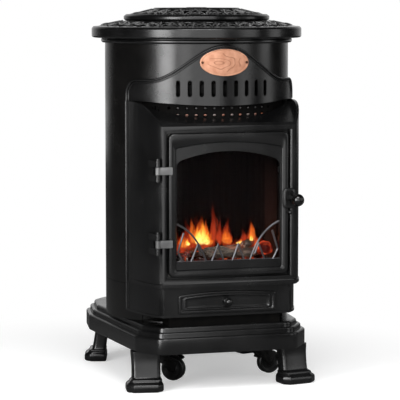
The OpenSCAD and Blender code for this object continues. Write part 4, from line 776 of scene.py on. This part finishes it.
door_rings = [framed(*row) for row in (
    # half width, foot, spring of the head, its rise, foot radius, head radius, depth
    (107.5, 264.5, 463.5, 20, 2, 12, DOOR_BACK), (107.5, 264.5, 463.5, 20, 2, 12, 224.2),
    (108.1, 263.9, 464.1, 20, 2, 12, 225.0), (109.2, 249.4, 490.2, 11, 2.0, 4.0, 225.1),
    (111.0, 247.6, 492.0, 11, 3.8, 5.8, 227.9), (112.4, 246.2, 493.4, 11, 5.2, 7.2, DOOR_FACE))]
for a in (radians(18 * k) for k in range(6)):
    d = DOOR_EDGE * (1 - sin(a))
    door_rings.append(framed(DOOR_HALF - d, DOOR_FOOT + d, DOOR_HEAD - d, 0, DOOR_CORNER - d, DOOR_CORNER - d,
                             DOOR_FACE - DOOR_EDGE * (1 - cos(a))))
door_rings.append(framed(DOOR_HALF, DOOR_FOOT, DOOR_HEAD, 0, DOOR_CORNER, DOOR_CORNER, DOOR_BACK))
lug = rounded([(111.5, 366), (137.5, 366), (137.5, 407), (111.5, 407)], 8, 5)
lug_rings = [[(x, -depth, z) for x, z in inset(lug, d)]
             for d, depth in ((0, 226.0), (0, 232.6), (0.6, 234.0), (2.0, 235.0), (6.0, 235.0))]
door_casting = shape([skin(door_rings, close=True), skin(lug_rings, caps=True)])
dress(door_casting, "door_casting", enamel, "door_frame", 40)


# %% Stud on the door
def ball(radius, depth, steps):
    """The profile of a ball from its neck to its front, with its middle at a depth."""
    return [(radius * sin(pi * k / steps), depth - radius * cos(pi * k / steps)) for k in range(3, steps + 1)]


STUD_X, STUD_Z = 123.5, 359.5
stud = [(0, 228.0), (3.2, 228.0), (3.2, 238.5)] + ball(4.4, 242.5, 10)
dress(shape([turned_forwards(stud, STUD_X, STUD_Z, 24)]), "latch_stud", gloss, "door_frame", 50,
      stands_in=False)

# %% [markdown]
# ## Window fret
# The little fence across the foot of the window is cut from flat bar with a ridge along its middle, so
# a bar that leans to the right shines on its upper left side while its neighbour stays dark.

# %% Window fret
BAR_WIDTH, SILL_Z = 3.5, 264.5
BAR_FOOT = SILL_Z + 0.2
bar_section = [(-1, 220.0), (1, 220.0), (1, 221.5), (0, 223.0), (-1, 221.5)]


def ridged_bar(points):
    """A bar along a path in the window's plane, mitred at its corners."""
    path = [Vector(point) for point in points]
    ways = [(b - a).normalized() for a, b in zip(path, path[1:])]
    rings = []
    for p, u, v in zip(path, ways[:1] + ways, ways + ways[-1:]):
        t = (u + v).normalized()
        n = Vector((-t.y, t.x)) / max(0.3, t.dot(u)) * (BAR_WIDTH / 2)
        rings.append([(p.x + n.x * k, -depth, p.y + n.y * k) for k, depth in bar_section])
    return skin(rings, caps=True)


fret_paths = [bezier((-107.3, 340.5), (-66.6, 324.5), (-46, BAR_FOOT), 12),
              [(-34, BAR_FOOT), (-21, 296.5), (-9, BAR_FOOT)], [(-77, BAR_FOOT), (-64, 296.5), (-56, 276.5)],
              [(-92.5, 322.5), (-104.5, 284.5), (-94.5, BAR_FOOT)]]
fret_skins = [ridged_bar([(side * x, z) for x, z in path]) for path in fret_paths for side in (1, -1)]
rail = [(-220.2, SILL_Z), (-221.4, SILL_Z), (-221.4, SILL_Z + 1.6), (-220.2, SILL_Z + 1.6)]
fret_skins.append(skin([[(x, y, z) for y, z in rail] for x in (-107.4, 107.4)], caps=True))
dress(shape(fret_skins), "fret_bars", fret_steel, "window_fret", 20)

# %% [markdown]
# ## Lips in the outlet grille
# Each opening of the grille under the hood has a small bent lip. The lips are painted lighter than the
# grille, so they show as painted glints, and the lower row is painted red for the fire's light seen
# through the openings. Geometry Nodes set a row of them on the curve of the grille, one for each opening.


# %% Grille lips
def lip_row_tree():
    g, value = geometry_tree("lip_row", ("Count", "Pitch", "Radius", "Height", "Size", "Finish"))
    middle = g.calc("DIVIDE", g.calc("SUBTRACT", value["Count"], 1.0), 2.0)
    angle = g.times(g.calc("SUBTRACT", g.geo("InputIndex"), middle), value["Pitch"])
    across, forward = (g.times(value["Radius"], g.calc(rule, angle)) for rule in ("SINE", "COSINE"))
    place = g.vector(across, g.calc("SUBTRACT", axis_y, forward), value["Height"])
    points = g.geo("SetPosition", {"Geometry": g.geo("MeshLine", {"Count": value["Count"]}), "Position": place})
    drop = g.geo("MeshUVSphere", {"Segments": 12, "Rings": 8, "Radius": value["Size"]})
    lip = g.geo("Transform", {0: drop, "Scale": (1.0, 0.45, 0.75)})
    copies = g.geo("InstanceOnPoints", {"Points": points, "Instance": lip, "Rotation": g.vector(0.5, 0.0, angle)})
    return finished(g, g.geo("RealizeInstances", {0: copies}), value["Finish"])


# Painted glints: the lower lips are painted red for firelight, the upper ones a light grey
painted_red_glint_steel = skin_material("painted_red_glint_lips", (0.30, 0.085, 0.035), (0.20, 0.18, 0.17), 0.45, patch_scale=75.0,
                           metallic=0.5)
painted_grey_glint_steel = skin_material("painted_grey_glint_steel", (0.06, 0.06, 0.06), (0.16, 0.15, 0.15), 0.4, patch_scale=60.0, metallic=0.5)
lip_tree = lip_row_tree()
for name, z, size, finish in (("lips_low", 0.5535, 0.0031, painted_red_glint_steel), ("lips_high", 0.5672, 0.0021, painted_grey_glint_steel)):
    lips = grow(lip_tree, name, Count=11, Pitch=radians(5.6), Radius=0.1885, Height=z, Size=size, Finish=finish)
    dress(lips, name, finish, "outlet_grille", 60, stands_in=False)

# %% [markdown]
# ## Drawer front
# The drawer's front is a shallow casting with an arched top: a raised outer frame, a step, a second
# thin frame and a sunk panel. Rings of the arched outline, drawn in step by step, give the whole
# relief as one skin, with enough rings at each edge to catch a thin line of light.


# %% Drawer front
def arched(half, low, spring, rise, corner):
    """An outline with an arched head, and the corner radius at each of its points."""
    head = [(half * u, spring + rise * (1 - u * u)) for u in (1 - i / 14 for i in range(29))]
    return [(-half, low), (half, low)] + head, [corner] * 3 + [0] * 27 + [corner]


def relief(outline, radii, levels):
    """Rings of an outline, one for each level: how far it is drawn in, and its depth from the axis."""
    rings = []
    for d, depth in levels:
        shrunk = [max(r - 0.3 * d, 1.0) if r else 0 for r in radii]
        rings.append([(x, -depth, z) for x, z in rounded(inset(outline, d), shrunk, 4)])
    return rings


drawer_rings = relief(*arched(102, 159, 197, 6, 5), [
    (6, 214.3), (0, 214.3), (0, 216.6), (0.5, 218.2), (1.6, 218.8), (4.6, 218.8), (5.8, 218.3), (6.6, 217.2),
    (7.2, 216.8), (8.2, 216.9)])
drawer_rings += relief(*arched(89, 167.5, 190.5, 5, 3.5), [
    (-1.6, 217.8), (-0.6, 218.7), (0.8, 218.8), (1.8, 218.2), (2.6, 216.4), (3.4, 215.9), (8.0, 215.9)])
dress(shape([skin(drawer_rings, caps=True)]), "drawer_panel", enamel, "drawer_front", 50)
knob = [(0, 210), (2.5, 210), (2.5, 215.6), (6.4, 215.6), (6.8, 216.4), (6.2, 217.4), (4.0, 218.0)] + ball(8, 225.8, 16)
dress(shape([turned_forwards(knob, 0, 181, 40)]), "drawer_ball", gloss, "drawer_knob", 50)

# %% [markdown]
# ## Coals
# The fuel bed is made of ceramic-fibre lumps that glow in their cracks. Each coal is an icosphere
# pushed in and out by noise, so no two are alike; the seed is fixed, so every run gives the same bed.
# One round ember at the right glows at its edge only, which Layer Weight gives.

# %% Ember materials
ember_coal, g, shader = principled("ember_coal")
place = g.place()
cells = g.out("TexVoronoi", {"Vector": place, "Scale": 150.0}, "Distance", feature="DISTANCE_TO_EDGE")
crack = g.span(cells, 0.0, 0.16, 1.0, 0.0)
glow = g.span(g.noise(place, 34.0, 3.0), 0.44, 0.62)
glow_and_painted_firelight = g.times(g.calc("ADD", g.times(crack, 0.9), 0.25), glow)
g.plug(shader, {
    "Base Color": g.mix(glow, (0.010, 0.007, 0.007), (0.05, 0.012, 0.008)),
    "Emission Color": g.ramp(glow_and_painted_firelight, [(0.0, (0, 0, 0)), (0.25, (0.04, 0.002, 0.001)), (0.6, (0.35, 0.018, 0.005)),
                                    (1.0, (1.0, 0.20, 0.03))]),
    "Emission Strength": 0.8, "Roughness": 0.9, "Normal": g.bump(g.noise(place, 420.0, 4.0), 0.8, 0.0012)})

ember_rim, g, shader = principled("ember_rim")
hot = g.span(g.noise(g.place(), 60.0, 3.0), 0.44, 0.60)
edge_on = g.span(g.out("LayerWeight", {"Blend": 0.5}, "Facing"), 0.22, 0.85)
g.plug(shader, {
    "Base Color": g.mix(hot, (0.003, 0.002, 0.002), (0.010, 0.003, 0.002)), "Roughness": 1.0,
    "Specular IOR Level": 0.0, "Emission Strength": 1.0,
    "Emission Color": g.mix(g.times(hot, edge_on), (0.05, 0.004, 0.003), (1.0, 0.10, 0.03))})


# %% Coals
def lump(centre, radius, seed, squash=0.82):
    """Points and faces of one rough coal."""
    bm = bmesh.new()
    bmesh.ops.create_icosphere(bm, subdivisions=3, radius=1.0)
    offset = Vector((seed * 3.7, seed * 1.3, seed * 2.1))
    verts = []
    for v in bm.verts:
        push = 1 + 0.22 * noise.noise(v.co * 1.3 + offset) + 0.10 * noise.noise(v.co * 3.1 + offset)
        p = v.co * radius * push
        verts.append((centre[0] + p.x, centre[1] + p.y, centre[2] + p.z * squash))
    faces = [tuple(v.index for v in f.verts) for f in bm.faces]
    bm.free()
    return verts, faces


random.seed(11)
COAL_R, COAL_Z, ROW_HALF, ROW_COALS = 9.9, 253.5, 92.0, 10
coals = []
for row, y in enumerate((-183.2, -162.0, -141.3)):
    for i in range(ROW_COALS):
        x = -ROW_HALF + 2 * ROW_HALF * i / (ROW_COALS - 1) + random.uniform(-2.5, 2.5)
        coals.append(lump((x, y + random.uniform(-1, 1), COAL_Z + random.uniform(-2, 1.5)),
                          COAL_R * random.uniform(0.92, 1.08), i + 11 * row))
for x, y, z, r in ((-84, -176, 267, 11.5), (-70, -158, 270, 10), (64, -160, 268, 10.5),
                   (-50, -190, 262, 9), (30, -166, 268, 9.5), (-22, -172, 268, 10), (-88, -152, 266, 10)):
    coals.append(lump((x, y, z), r, x * 0.31 + y))
bed = rounded([(-102, -193), (102, -193), (102, -131.5), (-102, -131.5)], 3, 3)
coals.append(skin([[(x, y, z) for x, y in bed] for z in (243.5, 252.0)], caps=True))
round_ember = shape([lump((93, -176, 281), 15.5, 5.5, 0.95)])
dress(round_ember, "round_ember", ember_rim, "ember_bed", 60, stands_in=False)
dress(shape(coals), "glowing_coals", ember_coal, "ember_bed", 60)

# %% [markdown]
# ## Logs
# The logs are ceramic fibre too, with a bark that glows in its deepest grain. Each one is lofted along
# its axis; noise raises the bark ridges, and its radius falls off at both broken ends.

# %% Bark material
fibre_bark, g, shader = principled("fibre_bark")
place = g.place()
grain = g.noise(g.mapped(place, Scale=(60.0, 320.0, 320.0)), 1.0, 6.0)
spark = g.times(g.span(g.noise(place, 45.0, 3.0), 0.52, 0.70), g.span(grain, 0.42, 0.36))
g.plug(shader, {
    "Base Color": g.mix(g.span(grain, 0.35, 0.65), (0.008, 0.006, 0.005), (0.070, 0.052, 0.038)), "Roughness": 0.95,
    "Emission Color": g.mix(spark, (0.004, 0.001, 0.0005), (0.9, 0.10, 0.02)), "Emission Strength": 0.8,
    "Normal": g.bump(grain, 0.9, 0.002)})

# %% Logs
LOG_STEPS, LOG_BEND = 26, 0.8


def rough_log(a, b, radius, seed):
    """A log from a to b with bark ridges and broken ends."""
    a, b = Vector(a), Vector(b)
    along = (b - a).normalized()
    side = along.cross(Vector((0, 0, 1))).normalized()
    up = side.cross(along)
    rings = []
    for t in (i / LOG_STEPS for i in range(LOG_STEPS + 1)):
        end = min(1.0, min(t, 1 - t) * 14)
        middle = a.lerp(b, t) + up * (LOG_BEND * sin(pi * t + seed))
        ring = []
        for c, s in ((cos(w), sin(w)) for w in around(28)):
            ridge = 0.10 * noise.noise(Vector((t * 9, c * 3 + seed, s * 3)))
            ridge += 0.05 * noise.noise(Vector((t * 26, c * 9, s * 9 + seed)))
            r = radius * (0.96 + ridge) * (0.55 + 0.45 * sqrt(end))
            ring.append(tuple(middle + (side * c + up * s) * r))
        rings.append(ring)
    return skin(rings, caps=True)


logs = [rough_log((-36, -184, 274), (68, -182, 273.5), 10.5, 1), rough_log((8, -140, 274), (97, -143, 274), 10, 2),
        rough_log((-95, -142, 274), (-12, -140, 274), 10, 3), rough_log((41, -190, 290), (80, -132, 291), 8.5, 4),
        rough_log((-40, -182, 280), (38, -180, 283), 7.5, 5)]
dress(shape(logs), "fibre_logs", fibre_bark, "log_set", 60)

# %% [markdown]
# ## Flames
# A gas flame is hottest and most solid at its root and thins out to nothing at its tips. Each tongue
# is a closed loft whose rings sway and narrow upwards. An attribute stores how far up each point is;
# the material turns it into colour and into alpha, and Layer Weight fades the sides, because one looks
# through less flame there. Small tongues sit inside bigger, dimmer ones.


# %% Flame materials
def flame_material(name, strength, solid, stops):
    mat, g, shader = principled(name)
    up = g.out("Attribute", output="Fac", attribute_name="rise")
    facing = g.out("LayerWeight", {"Blend": 0.5}, "Facing")
    cool = g.calc("ADD", g.times(up, 0.62), g.times(facing, 0.55))
    soft = g.calc("POWER", g.span(facing, 0.0, 0.9, 1.0, 0.0), 2.4)
    fade = g.span(up, 0.2, 1.0, 1.0, 0.0, interpolation_type="SMOOTHSTEP")
    foot = g.span(up, 0.0, 0.16, interpolation_type="SMOOTHSTEP")
    wisps = g.noise(g.mapped(g.place(), Scale=(190.0, 60.0, 34.0)), 1.0, 2.0)
    streaks = g.span(wisps, 0.38, 0.58, 0.25, 1.0)
    g.plug(shader, {"Base Color": (0, 0, 0), "Roughness": 1.0, "Specular IOR Level": 0.0,
                    "Emission Color": g.ramp(cool, stops), "Emission Strength": strength,
                    "Alpha": g.times(soft, fade, foot, streaks, solid)})
    return mat


yellow_flame = flame_material("yellow_flame", 1.9, 1.0, [
    (0.0, (1.0, 0.86, 0.42)), (0.22, (1.0, 0.66, 0.12)), (0.45, (1.0, 0.34, 0.03)), (0.8, (0.8, 0.08, 0.01))])
orange_flame = flame_material("orange_flame", 1.0, 0.85, [
    (0.0, (1.0, 0.34, 0.05)), (0.3, (1.0, 0.20, 0.02)), (0.6, (0.8, 0.07, 0.01)), (1.0, (0.3, 0.02, 0.01))])
red_flame = flame_material("red_flame", 0.75, 0.62, [
    (0.0, (0.9, 0.10, 0.03)), (0.4, (0.65, 0.05, 0.015)), (1.0, (0.2, 0.012, 0.006))])

# %% Flame tongues
TONGUE_STEPS, TONGUE_SIDES = 22, 18


def tongue(x, y, z, width, height, lean, seed):
    """The skin of a swaying tongue, and how far up each of its points is."""
    rings, rise = [], []
    for t in (i / TONGUE_STEPS for i in range(TONGUE_STEPS + 1)):
        full = sin(pi * min(1.0, t * 1.35 + 0.12)) if t < 0.3 else (1 - (t - 0.3) / 0.7) ** 1.3
        sway = 0.36 * width * t * noise.noise(Vector((t * 3.0 + seed, seed, 0)))
        ring = []
        for c, s in ((cos(w), sin(w)) for w in around(TONGUE_SIDES)):
            r = max(0.02, width / 2 * full) * (1 + 0.45 * noise.noise(Vector((c + seed, s, t * 4.5))))
            ring.append((x + lean * t * t + sway + r * c, y + 0.4 * sway + 0.6 * r * s, z + height * t))
        rings.append(ring)
        rise += [t] * TONGUE_SIDES
    return skin(rings, caps=True), rise


def flames(name, mat, tongues):
    skins, rises = zip(*(tongue(*row) for row in tongues))
    mesh = shape(skins, weld=0.0)
    mesh.attributes.new("rise", "FLOAT", "POINT").data.foreach_set("value", [t for rise in rises for t in rise])
    dress(mesh, name, mat, "ember_bed", 180, stands_in=False)


# Each row: x, y, height of the foot, width, height, lean, seed
flames("flames_red", red_flame, [
    (-7, -150, 288, 22, 92, -5, 1.0), (2, -156, 284, 16, 66, 1, 1.6), (15, -160, 280, 30, 70, 1, 2.0),
    (-62, -156, 276, 30, 74, -5, 3.0), (-84, -158, 264, 30, 56, -3, 4.0), (70, -156, 278, 30, 62, -2, 5.0),
    (40, -152, 272, 44, 34, 2, 6.0), (90, -158, 264, 24, 44, 3, 7.0), (-38, -150, 278, 60, 76, 0, 8.0),
    (54, -148, 280, 20, 46, 4, 9.0), (-20, -150, 276, 34, 42, 3, 10.0), (-72, -148, 268, 50, 60, 0, 10.5)])
flames("flames_orange", orange_flame, [
    (-41, -166, 288, 42, 66, 1, 11.0), (-55, -163, 292, 20, 60, -6, 12.0), (13, -166, 290, 22, 44, -1, 13.0),
    (-24, -168, 288, 20, 34, 6, 14.0), (69, -164, 292, 17, 52, -2, 15.0), (-76, -168, 284, 24, 38, -6, 16.0),
    (19, -164, 288, 16, 30, 3, 17.0), (-30, -164, 290, 15, 58, 2, 18.0), (80, -162, 280, 13, 24, 2, 19.0)])
flames("flames_yellow", yellow_flame, [
    (-41, -174, 290, 27, 54, 2, 21.0), (-49, -172, 291, 16, 46, -1, 22.0), (-31, -174, 290, 17, 34, 5, 23.0),
    (-36, -171, 294, 14, 48, 2, 24.0), (38, -178, 291, 17, 11, 3, 25.0), (66, -168, 294, 8, 20, -1, 26.0),
    (-70, -172, 290, 11, 18, -2, 27.0)])

# %% [markdown]
# ## Floor and world
# The floor is pale and keeps a soft shadow; far from the stove it blends into the white background.
# Black enamel mirrors its surroundings, and an all-white room would turn it grey. So what the camera
# sees, what a reflection sees and what soft light sees are kept apart: the floor is darker in
# reflections, and the world is white to the camera, dim for soft light and bright in reflections
# only opposite the camera.


# %% Floor
def by_ray(g, soft, mirrored, seen):
    """A shader for soft light, one for reflections and one for what is seen straight or through glass."""
    rays = g.add("LightPath").outputs
    straight = g.calc("MAXIMUM", rays["Is Camera Ray"], rays["Is Transmission Ray"])
    bounced = g.out("MixShader", {0: rays["Is Glossy Ray"], 1: soft, 2: mirrored})
    return g.out("MixShader", {0: straight, 1: bounced, 2: seen})


FLOOR_SIZE = 12.0
bpy.ops.mesh.primitive_plane_add(size=FLOOR_SIZE, location=(0, 0, -0.0002))
floor = bpy.context.object
floor.name = "floor"
floor_white, g, shader = principled("floor_white")
g.plug(shader, {"Base Color": (0.8, 0.8, 0.8), "Roughness": 0.9, "Specular IOR Level": 0.0})
plain = shader.outputs[0]
shifted = g.out("VectorMath", {0: g.place(), 1: (0.10, 0.0, 0.0)}, operation="ADD")
far = g.span(g.out("VectorMath", {0: shifted}, "Value", operation="LENGTH"), 0.28, 0.84,
             interpolation_type="SMOOTHSTEP")
glow, white = (g.out("Emission", {"Color": (1, 1, 1), "Strength": strength}) for strength in (0.42, 1.0))
faded = g.out("MixShader", {0: far, 1: g.out("AddShader", {0: plain, 1: glow}), 2: white})
dark = g.out("BsdfDiffuse", {"Color": (0.17, 0.17, 0.17)})
g.plug(g.tree.nodes["Material Output"], {"Surface": by_ray(g, plain, dark, faded)})
floor.data.materials.append(floor_white)
print("floor", FLOOR_SIZE, "m wide")

# %% World
world = bpy.data.worlds.new("studio")
scene.world = world
world.use_nodes = True
g = Graph(world.node_tree)
g.tree.nodes.clear()
backwards = (sin(VIEW_AZIMUTH), cos(VIEW_AZIMUTH), 0.0)
facing_back = g.out("VectorMath", {0: g.out("TexCoord", output="Generated"), 1: backwards}, "Value",
                    operation="DOT_PRODUCT")
behind = g.span(facing_back, 0.66, 1.0, 0.006, 0.85)
soft, mirrored, seen = (g.out("Background", {"Color": (1, 1, 1), "Strength": strength})
                        for strength in (0.14, behind, 1.0))
g.add("OutputWorld", {"Surface": by_ray(g, soft, mirrored, seen)})
print("world", world.name)

# %% [markdown]
# ## Lamps
# Tall soft lamps stand round the stove, as in a studio. The key lamp and its helper at the left front
# draw the long highlights on the left of every curve, a wide one overhead lights the ledges, and
# weaker ones at the front and right open the shadows. A small red one stands for the fire's own light.


# %% Lamps
def lamp(name, azimuth, distance, height, size, power, aim=(0, 0, 0.42), color=(1, 1, 1)):
    """A soft rectangular lamp; azimuth is measured from the front, positive to the viewer's right."""
    data = bpy.data.lights.new(name, "AREA")
    data.shape = "RECTANGLE"
    data.size, data.size_y = size
    data.energy = power
    data.color = color
    lamp_object = bpy.data.objects.new(name, data)
    scene.collection.objects.link(lamp_object)
    x, y, z = from_front(radians(azimuth), distance, height)
    lamp_object.location = (x, axis_y + y, z)
    aim = Vector(aim) + Vector((0, axis_y, 0))
    lamp_object.rotation_euler = (aim - lamp_object.location).to_track_quat("-Z", "Y").to_euler()
    print("lamp", name, power, "W")
    return lamp_object


lamp("key", -53, 2.6, 1.0, (0.85, 2.0), 60)
lamp("key_edge", -30, 2.6, 1.0, (0.8, 1.8), 14)
lamp("front", -4, 1.6, 0.8, (0.95, 1.4), 8)
lamp("right", 40, 2.6, 1.1, (0.9, 1.8), 9)
lamp("right_edge", 75, 2.6, 1.0, (0.8, 1.8), 6)
lamp("top", -12, 1.6, 2.4, (1.6, 0.9), 34)
fire_glow = lamp("fire_glow", 0, 0.185, 0.292, (0.15, 0.02), 0.10, aim=(0.06, -0.118, 0.36), color=(1.0, 0.22, 0.06))
fire_glow.visible_camera = fire_glow.visible_transmission = fire_glow.visible_glossy = False
